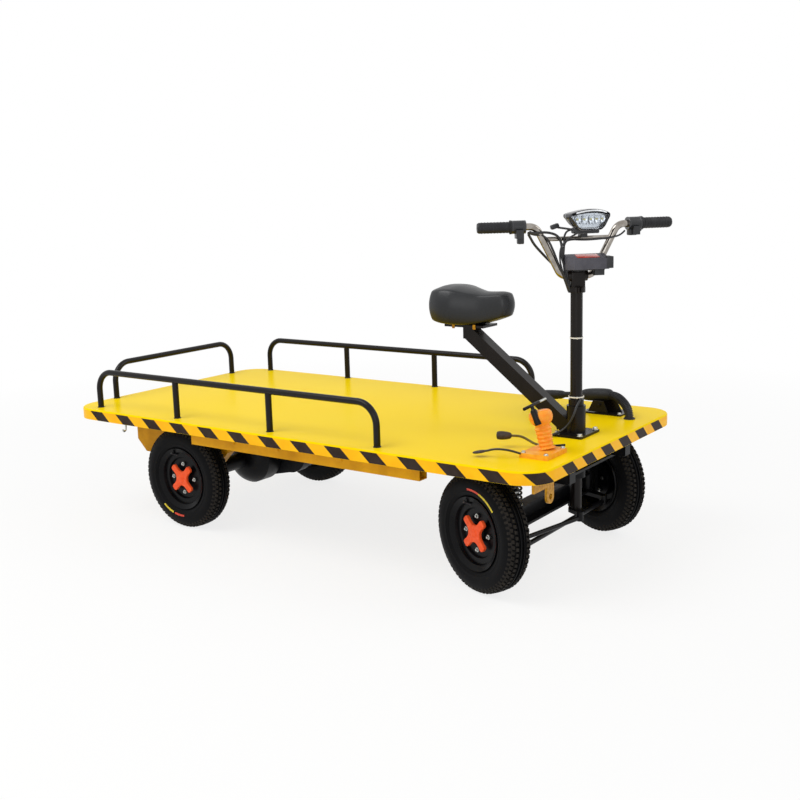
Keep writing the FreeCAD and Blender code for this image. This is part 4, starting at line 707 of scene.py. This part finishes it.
def station(u, column):  # smooth value between the stations
    rows = saddle["stations"]
    for a, b in zip(rows, rows[1:]):
        if u <= b[0] + 1e-9:
            t = (u - a[0]) / (b[0] - a[0])
            t = t * t * (3 - 2 * t) * 0.5 + t * 0.5
            return (a[column] + (b[column] - a[column]) * t) / 1000
    return rows[-1][column] / 1000


cushion = start("cube", size=2)
pickAll()
subdivide(saddle["cuts"])
length = saddleHigh.x - saddleLow.x - saddle["lengthInset"]
k = saddle["swell"]
for vertex in cushion.data.vertices:
    u, v, w = vertex.co
    across = v * math.sqrt(1 - k * w * w) * math.sqrt(1 - 0.3 * k * u * u)
    up = w * math.sqrt(1 - k * v * v)
    ends = u * math.sqrt(1 - k * v * v * 0.9) * math.sqrt(1 - k * w * w * 0.5)
    s = (ends + 1) / 2
    low, high = station(s, 2), station(s, 3)
    crown = saddle["crown"] * (1 - v * v) if w > 0 else 0
    vertex.co = (saddleLow.x + saddle["tailInset"] + s * length, across * station(s, 1),
                 saddleLow.z + (low + high) / 2 + up * (high - low) / 2 - saddle["drop"] + crown)
smoothed(cushion, 2)
finishPiece(cushion, "saddle_cover", "saddleVinyl", "chassis", angle=60)
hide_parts("saddle")
print("saddle made")

# front coil springs and dampers
damperLow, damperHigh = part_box("front_dampers")
spring = {"mean": 0.0215, "wire": 0.0035, "turns": 5.4, "gap": 0.002, "seat": 0.008}
tall = (damperHigh.z - damperLow.z) * 1000  # mm
damperProfile = [(0, 0), (24, 0), (26.5, 1.5), (26.5, 4), (15.5, 5), (14.5, 7), (14.5, tall * 0.56),
                 (12.5, tall * 0.58), (6, tall * 0.585), (6, tall - 6), (15.5, tall - 5), (26.5, tall - 4),
                 (26.5, tall - 1.5), (25, tall), (0, tall)]
coil = start("circle", vertices=14, radius=spring["wire"], location=(spring["mean"], 0, 0),
             rotation=(math.pi / 2, 0, 0))
applyAll(coil)
addModifier(coil, "SCREW", angle=math.radians(360 * spring["turns"]), steps=150, render_steps=150, axis="Z",
            screw_offset=tall / 1000 - 2 * spring["seat"], use_merge_vertices=True)
applyAll(coil)
bpy.ops.object.mode_set(mode="EDIT")
bpy.ops.mesh.select_mode(type="EDGE")
bpy.ops.mesh.select_all(action="DESELECT")
bpy.ops.mesh.select_non_manifold()
bpy.ops.mesh.edge_face_add()
objectMode()
closeSeams(coil)
put(coil, shift(0, 0, spring["seat"]))
damper = spun(damperProfile, 40)
out = damperHigh.y - spring["mean"] - spring["wire"] - spring["gap"]
spots = [shift((damperLow.x + damperHigh.x) / 2, side * out, damperLow.z) for side in (-1, 1)]
springs, dampers = joined(copies(coil, spots)), joined(copies(damper, spots))
finishPiece(springs, "front_coil_springs", "springBlack", "chassis", angle=60)
finishPiece(dampers, "front_damper_bodies", "zincPlate", "chassis")
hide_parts("front_dampers")
print("springs wound")

steerPlace = shift(0.8247, 0, 0) @ turn(-45, "Z")  # handlebar frame: X ahead of the bar, Y along it


def barEnd(side):  # Y runs out along the bar from its shoulder
    return steerPlace @ shift(0, side * 0.130, 1.085) @ turn(side * 6, "Z")


# headlight
lamp = {"width": 0.138, "height": 0.064, "depth": 0.074, "ahead": 0.024, "along": 0.009, "centre": 1.104,
        "face": 12,  # degrees that it looks off the bar's own direction
        "foot": 0.5, "brow": 0.42, "wrap": 0.012, "tuck": 0.8,
        "rim": 0.004, "dish": 0.020, "dishFall": (1, 0.93, 0.88), "bow": 3.0,
        "flutes": 11, "flutePitch": 0.0105, "fluteRadius": 0.0034, "fluteTall": 0.024, "fluteFall": 3.9,
        "cups": 5, "cupPitch": 0.021, "cupStretch": (1.3, 1, 1, 1),
        "cupProfile": [(3, 1), (6.5, 1.5), (8.5, 4), (7.8, 4.2), (6, 2.5), (3, 2), (3, 1)],
        # lens and reflector: thickness, how far ahead, margin to the shell, finish, slot
        "sheets": {"lamp_lens": (0.005, 0.0345, 0.011, "clearPolycarbonate", "lamp_lens"),
                   "lamp_reflector": (0.003, 0.0180, 0.015, "reflectorPlate", "chrome")}}
lampPlace = (steerPlace @ shift(lamp["ahead"] + lamp["depth"] / 2, lamp["along"], lamp["centre"])
             @ turn(lamp["face"], "Z"))


def lampBlock(size, ahead):  # widest under its brow, narrower at the foot, closing behind
    block = start("cube", size=1, scale=size)
    applyAll(block)
    pickAll()
    subdivide(5)
    for vertex in block.data.vertices:
        x, y, z = vertex.co
        share = max(0, z / lamp["height"] + 0.5)
        y = y * (lamp["foot"] + (1 - lamp["foot"]) * min(1, share * 1.5) ** 0.7)
        across = abs(y) / (lamp["width"] / 2)
        if z > 0:
            z = z * (1 - lamp["brow"] * across ** 2)
        if x < -0.01:
            z, y = z * lamp["tuck"] + 0.002, y * lamp["tuck"]
        vertex.co = (x + ahead - lamp["wrap"] * across ** 2, y, z)
    return block


shell = lampBlock((lamp["depth"], lamp["width"], lamp["height"]), 0)
pick(shell, "FACE", lambda centre, normal: normal.x > 0.7)
bpy.ops.mesh.inset(thickness=lamp["rim"])
bpy.ops.mesh.extrude_region_move(TRANSFORM_OT_translate={"value": (-lamp["dish"], 0, 0)})
bpy.ops.transform.resize(value=lamp["dishFall"], center_override=(0, 0, 0))
objectMode()
closeSeams(shell)
smoothed(shell, 2)
put(shell, lampPlace)
finishPiece(shell, "lamp_shell", "glossAbs", "steering", angle=50)
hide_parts("headlight_shell")
for name, (thick, ahead, margin, finish, slotName) in lamp["sheets"].items():
    sheet = lampBlock((thick, lamp["width"] - margin, lamp["height"] - margin - 0.008), ahead)
    smoothed(sheet, 2)
    put(sheet, lampPlace, shift(0, 0, -0.003))
    finishPiece(sheet, name, finish, "steering", angle=50)
    if name == "lamp_lens":
        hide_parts("headlight_lens")
flutes = []
for k in range(lamp["flutes"]):  # upright flutes moulded on the reflector
    y = (k - (lamp["flutes"] - 1) / 2) * lamp["flutePitch"]
    tall = lamp["fluteTall"] - lamp["fluteFall"] * y * y
    flute = roundBar((0, 0, -tall / 2 - 0.003), (0, 0, tall / 2 + 0.001), lamp["fluteRadius"], 14, 0.001)
    flutes.append(put(flute, lampPlace, shift(0.0205 - lamp["bow"] * y * y, y, 0)))
finishPiece(joined(flutes), "lamp_flutes", "reflectorPlate", "steering", angle=40)
brow = softBlock((0.0028, 0.104, 0.0045), 0.001)
pickAll()
subdivide(7)
for vertex in brow.data.vertices:  # bent back and down towards its ends
    vertex.co.x -= 2.9 * vertex.co.y ** 2
    vertex.co.z -= 2.6 * vertex.co.y ** 2
put(brow, lampPlace, shift(0.0372, 0, 0.0265))
finishPiece(brow, "lamp_brow_strip", "reflectorPlate", "steering", angle=40)
cups, chips = [], []
for k in range(lamp["cups"]):
    y = (k - (lamp["cups"] - 1) / 2) * lamp["cupPitch"]
    back = -lamp["bow"] * y * y
    cup = spun(lamp["cupProfile"], 28)
    stretch = Matrix.Diagonal(lamp["cupStretch"])
    cups.append(put(cup, lampPlace, shift(0.0225 + back, y, 0.001), turn(90, "Y"), stretch))
    chip = start("uv_sphere", segments=16, ring_count=8, radius=0.003)
    pick(chip, "VERT", lambda co: co.z < -0.0001)
    bpy.ops.mesh.delete(type="VERT")
    objectMode()
    chips.append(put(chip, lampPlace, shift(0.0240 + back, y, 0.001), turn(90, "Y")))
finishPiece(joined(cups), "lamp_reflectors", "reflectorPlate", "steering")
finishPiece(joined(chips), "lamp_chips", "ledPhosphor", "steering")
bracket = blockAt(steerPlace, (0.050, lamp["along"], 1.071), (0.040, 0.078, 0.018), 0.004)
foot = blockAt(steerPlace, (0.024, 0.010, 1.060), (0.036, 0.020, 0.022), 0.002)
finishPiece(joined([bracket, foot]), "lamp_bracket", "blackAbs", "steering")
print("headlight made")

# meter box with its window, end cap, relay and shelf
meter = {"ahead": 0.034, "along": 0.020, "height": 0.976, "deep": 0.050, "wide": 0.128, "tall": 0.046,
         "fall": 0.013, "corner": 0.018, "bevel": 0.0015, "window": (0.034, 0.070, 0.0022)}
box = start("cube", size=1, scale=(meter["deep"], meter["wide"], meter["tall"]))
applyAll(box)
pick(box, "VERT", lambda co: co.x > 0 and co.z > 0)  # the lid falls away to the front
bpy.ops.transform.translate(value=(0, 0, -meter["fall"]))
objectMode()
bevelWhere(box, lambda p, q: p.x > 0 and q.x > 0 and p.y < 0 and q.y < 0, meter["corner"], 1)
pickAll()
bevelPicked(meter["bevel"], 2)
meterPlace = steerPlace @ shift(meter["ahead"], meter["along"], meter["height"])
put(box, meterPlace)
finishPiece(box, "meter_case", "texturedAbs", "steering")
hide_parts("meter_box")
strip = softBlock(meter["window"], 0.0008)
slope = math.degrees(math.atan(meter["fall"] / meter["deep"]))
put(strip, meterPlace, shift(0, 0.001, (meter["tall"] - meter["fall"]) / 2 + 0.0004), turn(slope, "Y"))
finishPiece(strip, "meter_window", "redAcrylic", "steering")
cap = blockAt(meterPlace, (0.003, meter["wide"] / 2 + 0.002, -0.003), (0.046, 0.022, 0.036), 0.002)
relay = blockAt(meterPlace, (0.006, 0.036, -0.031), (0.020, 0.032, 0.022), 0.0018)
shelf = blockAt(meterPlace, (-0.002, 0.004, -0.0245), (0.030, 0.100, 0.004), 0.001)
finishPiece(joined([cap, relay, shelf]), "meter_cap_and_relay", "blackAbs", "steering")

# on each end of the bar: ribs on the grip, a switch pod on two clamp bands
bar = {"ribs": 9, "firstRib": 0.086, "ribPitch": 0.0098, "bands": (0.032, 0.070), "podAt": 0.048,
       "ribProfile": [(16, 0), (17.2, 0.8), (17.2, 3.4), (16, 4.2)],
       "bandProfile": [(11.6, 0), (19.6, 0), (20.4, 0.8), (20.4, 5.2), (19.6, 6), (11.6, 6)],
       "pods": [(-1, 0.034, 0.034, 0.020), (1, 0.026, 0.020, 0.026)]}  # side, drop, height, width
ends = {side: barEnd(side) @ turn(-90 * side, "X") for side in (-1, 1)}
ribs = copies(spun(bar["ribProfile"], 32), [ends[side] @ shift(0, 0, bar["firstRib"] + bar["ribPitch"] * k)
                                            for side in (-1, 1) for k in range(bar["ribs"])])
finishPiece(joined(ribs), "grip_ribs", "gripRubber", "steering")
pods = []
for side, drop, tall, wide in bar["pods"]:
    place, y = barEnd(side), side * bar["podAt"]
    pods.append(blockAt(place, (0.002, y, -drop), (0.024, wide, tall), 0.0035, 3))
    pods.append(blockAt(place, (0.002, y, -0.018), (0.016, wide * 0.7, 0.014), 0.002))
pods.append(blockAt(barEnd(1), (0.016, 0.060, -0.021), (0.010, 0.022, 0.006), 0.002))  # the toggle
finishPiece(joined(pods), "switch_pods", "blackAbs", "steering")
bands = copies(spun(bar["bandProfile"], 40),
               [ends[side] @ shift(0, 0, y) for side in (-1, 1) for y in bar["bands"]])
finishPiece(joined(bands), "switch_rims", "glossAbs", "steering")
plug = softBlock((0.018, 0.026, 0.014), 0.004, 3)
put(plug, steerPlace, shift(0.010, -0.074, 1.084), turn(18, "X"))
stalk = put(roundBar((0.010, -0.066, 1.081), (0.034, -0.014, 1.072), 0.0032, 16), steerPlace)
finishPiece(joined([plug, stalk]), "blank_mirror_plug", "blackAbs", "steering")

# leads, mm in the handlebar's frame: they hug the bar, then fall together to the column
wires = {
    "switch_lead_right": (0.0038, [(4, -152, 1070), (12, -138, 1064), (13, -118, 1068), (13, -90, 1066),
                                   (14, -64, 1056), (14, -52, 1030), (14, -54, 996), (14, -46, 968),
                                   (12, -34, 938), (8, -26, 905), (4, -24, 885)]),
    "throttle_lead": (0.0034, [(-2, -156, 1068), (4, -138, 1060), (8, -116, 1060), (10, -96, 1048),
                               (12, -78, 1010), (12, -66, 978), (10, -52, 945), (6, -38, 915), (0, -26, 885)]),
    "lamp_lead": (0.0030, [(34, -16, 1074), (20, -34, 1074), (14, -46, 1056), (12, -44, 1020), (12, -48, 985),
                           (12, -44, 950), (10, -34, 915), (6, -25, 890)]),
    "loop_lead": (0.0028, [(30, 0, 1066), (22, -24, 1054), (16, -40, 1040), (16, -58, 1020), (16, -60, 980),
                           (16, -50, 945), (10, -34, 910), (4, -26, 890)]),
    "switch_lead_left": (0.0028, [(4, 152, 1064), (10, 138, 1052), (12, 112, 1046), (14, 70, 1042),
                                  (14, 20, 1040), (12, -26, 1044), (14, -46, 1034), (14, -52, 990)]),
}
for name, (radius, points) in wires.items():
    cable(name, points, radius, "cableSheath", "steering", place=steerPlace)

# the clamp between column and bar: a split collar, a riser and a cradle with four bolts
clamp = {"foot": 0.8800, "riser": 0.9200, "cradle": 0.9330, "bolts": 0.951, "boltsAt": (-0.014, 0.014),
         "ear": 0.889,
         "collarProfile": [(20.5, 0), (26.2, 0), (27, 1), (27, 17), (26.2, 18), (20.5, 18)]}
collar = put(spun(clamp["collarProfile"], 44), shift(0.8247, 0, clamp["foot"]))
riser = blockAt(steerPlace, (0, 0, clamp["riser"]), (0.040, 0.044, 0.052), 0.004, 3)
cradle = put(roundBar((0, -0.032, clamp["cradle"]), (0, 0.032, clamp["cradle"]), 0.0185, 36, 0.001), steerPlace)
ears = [blockAt(steerPlace, (0.0300, side * 0.0052, clamp["ear"]), (0.013, 0.006, 0.016), 0.001, 1)
        for side in (-1, 1)]
clampPiece = joined([collar, riser, cradle] + ears)
finishPiece(clampPiece, "bar_clamp", "blackPowderCoat", "steering")
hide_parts("stem_clamp")
heads = [steerPlace @ Vector((x, y, clamp["bolts"])) for x in clamp["boltsAt"] for y in clamp["boltsAt"]]
bolts("bar_clamp_bolts", [shift(*head) for head in heads], "steering", 0.010, 0.005, 0.0065)

# gold-passivated clip that holds the saddle to its plate
clip = {"x": 0.449, "top": 0.7655, "hooks": (-0.05, 0.03), "hookOut": 0.047, "hookHeight": 0.7590}
plate = softBlock((0.036, 0.052, 0.0035), 0.001, 1, (clip["x"], 0, clip["top"]))
hookSpots = [(clip["x"] + dx, side * clip["hookOut"]) for dx in clip["hooks"] for side in (-1, 1)]
hooks = [softBlock((0.010, 0.004, 0.016), 0.001, 1, (x, y, clip["hookHeight"])) for x, y in hookSpots]
finishPiece(joined([plate] + hooks), "saddle_clip", "goldPassivate", "chassis")

# nylon ties on the column: how high, and the radius under each, mm
tie = {"places": [(0.552, 23.5), (0.739, 19.8), (0.889, 21.2)], "thick": 1.2, "half": 2, "turned": -58}
ties = []
for height, r in tie["places"]:
    out, half = r + tie["thick"], tie["half"]
    place = shift(0.8247, 0, height)
    headPlace = place @ turn(tie["turned"], "Z")
    ties.append(put(spun([(r, -half), (out, -half), (out, half), (r, half), (r, -half)], 48), place))
    ties.append(blockAt(headPlace, (r / 1000 + 0.003, 0, 0), (0.006, 0.0045, 0.0055), 0.0008))
    tail = softBlock((0.012, 0.0022, 0.001), 0.0003)
    ties.append(put(tail, headPlace, shift(r / 1000 + 0.009, 0.001, 0.001), turn(-18, "Y")))
finishPiece(joined(ties), "nylon_ties", "nylonTie", "steering")
print("bar dressed")

# fasteners, and a weld bead round the foot of each guard post
bolts("column_foot_bolts", [shift(x, y, 0.438) for x in (0.7855, 0.8645) for y in (-0.055, 0.055)], "chassis",
      0.013, 0.007, 0.010)
bolts("pedal_plate_bolts", [shift(x, y, 0.444) for x in (0.825, 0.899) for y in (-0.341, -0.237)], "chassis",
      0.010, 0.004, 0.0075)
weld = {"height": 0.4302, "profile": [(10.5, 0), (13.2, 0), (12.8, 1), (11.8, 2.5), (11.2, 4), (10.5, 4)],
        "nearY": -0.452, "near": (-0.9293, -0.5143, -0.0713, 0.3737),
        "farY": 0.478, "far": (-0.9153, -0.4773, -0.0343, 0.4047), "rearX": -1.0203, "rear": (-0.301, 0.341)}
posts = [(x, weld["nearY"]) for x in weld["near"]] + [(x, weld["farY"]) for x in weld["far"]]
posts += [(weld["rearX"], y) for y in weld["rear"]]
beads = copies(spun(weld["profile"], 36), [shift(x, y, weld["height"]) for x, y in posts])
finishPiece(joined(beads), "guard_post_welds", "railEnamel", "chassis")
print("fasteners placed")

# gear lever: boot, stem and cross handle
lever = {"foot": (0.863, -0.268, 0.4443), "lean": -12, "stemFoot": (0.853, -0.300, 0.520), "stemLean": -22,
         "handle": ((0.812, -0.316, 0.5660), (0.828, -0.250, 0.5790)), "handleRadius": 0.0048,
         "tip": ((0.828, -0.2502, 0.5790), (0.835, -0.222, 0.5845)), "tipRadius": 0.0038,
         "ribs": (22.5, 23.2, 23.8, 24.6, 25.4), "firstRib": 8, "ribPitch": 11.8,
         "bootFoot": [(0, 0), (26, 0), (27.5, 2), (26, 4.5), (20.5, 7)],
         "bulb": [(20, 68), (22.5, 73), (31, 80), (35, 90), (35.8, 100), (33.5, 110), (28, 115.5), (18, 117),
                  (9.8, 116), (0, 116)],
         "stem": [(0, 0), (9.5, 1), (10, 4), (10, 44), (8.5, 47.5), (5.5, 50), (5.5, 60), (0, 61)]}
wall = list(lever["bootFoot"])
for k, wide in enumerate(lever["ribs"]):  # soft ribs up to the bulb
    low = lever["firstRib"] + lever["ribPitch"] * k
    wall += [(wide - 4.2, low), (wide - 0.8, low + 2.8), (wide, low + 5.5), (wide - 0.8, low + 8.2)]
boot = spun(wall + lever["bulb"], 48)
smoothed(boot, 1)
put(boot, shift(*lever["foot"]) @ turn(lever["lean"], "Y"))
finishPiece(boot, "lever_boot_cover", "bootPvc", "chassis", angle=60)
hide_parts("lever_boot")
stem = put(spun(lever["stem"], 32), shift(*lever["stemFoot"]), turn(lever["stemLean"], "Y"))
handle = joined([stem, roundBar(*lever["handle"], lever["handleRadius"], 28, 0.002)])
finishPiece(handle, "lever_stem", "blackPowderCoat", "chassis")
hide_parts("lever_handle")
tip = roundBar(*lever["tip"], lever["tipRadius"], 28, 0.0012)
finishPiece(tip, "lever_tip", "zincPlate", "chassis")

# parking brake: a moulded grip and hood over the lever, and a ribbed sleeve down to the deck
brake = {"line": 0.335, "tail": (0.516, 0.472), "rise": 5.2,
         "grip": [(0, 0), (8, 0.5), (14.5, 4), (17, 12), (16.8, 50), (15.5, 80), (14, 92), (10.8, 97),
                  (10, 100), (10, 160), (12.8, 163), (18, 172), (21.2, 188), (22.2, 215), (21.8, 245),
                  (20, 268), (16, 280), (0, 281)],
         "path": [(776, 335, 494), (806, 326, 496), (836, 309, 490), (862, 295, 474), (877, 287, 454),
                  (880, 285, 431.5)],
         "sleeve": 0.0125, "ring": [(12, -1.9), (14.8, -1.4), (15.3, 0), (14.8, 1.4), (12, 1.9)],
         "firstRing": 0.004, "ringPitch": 0.0052,
         "grommet": [(12, 0), (19.5, 0), (18.8, 3), (16, 5), (12, 5.5)], "grommetAt": (0.880, 0.285, 0.4301)}
grip = spun(brake["grip"], 40)
smoothed(grip, 1)
put(grip, shift(brake["tail"][0], brake["line"], brake["tail"][1]), turn(90 - brake["rise"], "Y"))
finishPiece(grip, "brake_grip_and_hood", "gripRubber", "chassis", angle=60)
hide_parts("brake_lever")
cable("brake_sleeve_core", brake["path"], brake["sleeve"], "cableSheath", "chassis", sides=6)
guide = splineCurve("sleeveGuide", brake["path"], 12, Matrix.Identity(4))
spine = [vertex.co.copy() for vertex in bpy.data.meshes.new_from_object(guide).vertices]
discard(guide)
ringPlaces, walked, nextRing = [], 0.0, brake["firstRing"]
for a, b in zip(spine, spine[1:]):
    walked += (b - a).length
    while walked >= nextRing:
        ringPlaces.append(Matrix.Translation(b - (b - a).normalized() * (walked - nextRing)) @ aimed(b - a))
        nextRing += brake["ringPitch"]
rings = joined(copies(spun(brake["ring"], 28), ringPlaces))
finishPiece(rings, "brake_sleeve_ribs", "gripRubber", "chassis", angle=60)
grommet = put(spun(brake["grommet"], 36), shift(*brake["grommetAt"]))
finishPiece(grommet, "brake_sleeve_grommet", "gripRubber", "chassis")
cheeks = []
for side in (-1, 1):  # ratchet cheeks each side of the lever, with a pin through them
    cheek = softBlock((0.074, 0.0028, 0.040), 0.001, 1, (0.752, brake["line"] + side * 0.0232, 0.456))
    pick(cheek, "VERT", lambda co: co.z > 0.46)
    bpy.ops.transform.resize(value=(0.55, 1, 1), center_override=(0.756, brake["line"], 0.47))
    objectMode()
    pin = put(boltHead(0.010, 0.004, 0.0075), shift(0.758, brake["line"] + side * 0.0246, 0.462),
              turn(-90 * side, "X"))
    cheeks += [cheek, pin]
finishPiece(joined(cheeks), "brake_cheeks", "blackPowderCoat", "chassis")
bolts("brake_plate_bolts", [shift(x, y, 0.4352) for x in (0.832, 0.706) for y in (0.312, 0.384)], "chassis",
      0.010, 0.005, 0.0075)
print("levers made")

# pedals: a rubber-footed one and a small oval one, each on a thin bent rod
pedal = {"rubberTip": (696.5, -277.2, 468), "rubberRod": 0.0038, "ovalRod": 0.0032,
         "rubberPath": [(738.4, -260, 468), (752, -244, 466), (762.9, -230.7, 460), (778.2, -222.8, 450),
                        (796, -220, 441), (812, -214, 436.5), (830, -206, 436)],
         "rubber": [(0, 0), (10, 0.6), (12.8, 4), (13.6, 16), (12, 32), (9.8, 42), (6, 46), (0, 46.5)],
         "ovalPath": [(718, -396, 446.2), (730.2, -391, 448), (753.1, -389.8, 456), (778.2, -383.1, 457),
                      (796.6, -370.8, 453), (812, -360, 447), (820, -350, 442)],
         "oval": [(0, 0), (13, 0), (15, 1.2), (15.2, 3), (13.8, 4.6), (0, 5.2)],
         "ovalAt": (0.7110, -0.4000, 0.4425), "ovalStretch": (1.35, 0.85, 1, 1),
         "shaft": ((0.8460, -0.2150, 0.4385), (0.8780, -0.1800, 0.4385))}
cable("rubber_pedal_rod", pedal["rubberPath"], pedal["rubberRod"], "pedalRod", "chassis")
rubber = spun(pedal["rubber"], 32)
smoothed(rubber, 1)
tipAt, rodEnd = (Vector([c / 1000 for c in point]) for point in (pedal["rubberTip"], pedal["rubberPath"][0]))
put(rubber, Matrix.Translation(tipAt), aimed(rodEnd - tipAt))
finishPiece(rubber, "rubber_pedal", "pedalRubber", "chassis", angle=60)
cable("oval_pedal_rod", pedal["ovalPath"], pedal["ovalRod"], "cableSheath", "chassis")
oval = put(spun(pedal["oval"], 36), shift(*pedal["ovalAt"]), turn(30, "Z"), turn(-8, "Y"),
           Matrix.Diagonal(pedal["ovalStretch"]))
finishPiece(oval, "oval_pedal", "pedalRubber", "chassis", angle=50)
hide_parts("pedals")
shaft = roundBar(*pedal["shaft"], 0.0036, 20)
finishPiece(shaft, "pedal_shaft_end", "blackPowderCoat", "chassis")
print("pedals made")

# fins and end-bell bolts on the motor
motor = {"x": -0.4392, "z": 0.206, "fins": 9, "firstFin": 0.030, "finPitch": 0.0105, "boltCircle": 0.058,
         "fin": [(73.5, 0), (77.2, 0.4), (77.2, 3.6), (73.5, 4)]}
motorPlace = shift(motor["x"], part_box("drive_motor")[1].y, motor["z"])  # the middle of its end bell
fins = copies(spun(motor["fin"], 56), [motorPlace @ shift(0, -motor["firstFin"] - motor["finPitch"] * k, 0)
                                       @ turn(90, "X") for k in range(motor["fins"])])
finishPiece(joined(fins), "motor_fins", "castMotorCase", "chassis")
angles = [math.radians(a) for a in (45, 135, 225, 315)]
heads = [motorPlace @ shift(motor["boltCircle"] * math.cos(a), 0, motor["boltCircle"] * math.sin(a))
         @ turn(-90, "X") for a in angles]
bolts("motor_end_bolts", heads, "chassis", 0.010, 0.005, 0.007)

# small things on the frame: tabs where the pan is tacked to the near edge tube, a rope hook, and black caps in
# the open front ends of the main rails, put there as painted shade for the shadow under the front of the deck
tabs = [softBlock((0.020, 0.004, 0.020), 0.0012, 1, (x, -0.4772, 0.3835)) for x in (-0.2253, -0.0253, 0.2407)]
finishPiece(joined(tabs), "pan_tabs", "frameEnamel", "chassis")
hookPath = [(-760.3, y, z) for y, z in ((-482, 389), (-482, 376), (-484, 364), (-496, 361), (-496, 370))]
cable("rope_hook", hookPath, 0.0032, "zincPlate", "chassis")
caps = [softBlock((0.003, 0.0395, 0.0595), 0.0008, 1, (0.9118, side * 0.20, 0.357)) for side in (-1, 1)]
finishPiece(joined(caps), "rail_end_shade_caps", "wheelEnamel", "chassis")

# bright nuts on the knuckle's back plate, inside the far front wheel
inner = {"count": 5, "circle": 0.040, "face": -0.0270}
spot = shift(0, inner["face"], inner["circle"]) @ turn(90, "X")
turned = [turn(360 / inner["count"] * k, "Y") @ spot for k in range(inner["count"])]
nuts = copies(nutAndStud(0.013, 0.004, 0.0035, 0.001), [outerFaces["front_left"] @ place for place in turned])
finishPiece(joined(nuts), "inner_nuts_front_left", "zincPlate", "knuckle_left")

# coloured tape wound on the far guard tube, two turns of red with one of white between
wrapProfile = [(11.1, 0), (11.6, 0.2), (11.6, 9.8), (11.1, 10)]
for name, x, finish in (("tape_red_left", 0.2600, "redTape"), ("tape_white", 0.2702, "nylonTie"),
                        ("tape_red_right", 0.2804, "redTape")):
    wrap = put(spun(wrapProfile, 40), shift(x, 0.478, 0.567), turn(90, "Y"))
    finishPiece(wrap, name, finish, "chassis")
leadPath = [(845.7, -12, 548), (842, -30, 530), (838, -40, 505), (826, -44, 475), (806, -50, 452),
            (788, -66, 440), (776, -80, 436.5)]
cable("column_foot_lead", leadPath, 0.0036, "cableSheath", "chassis")
print("frame dressed")
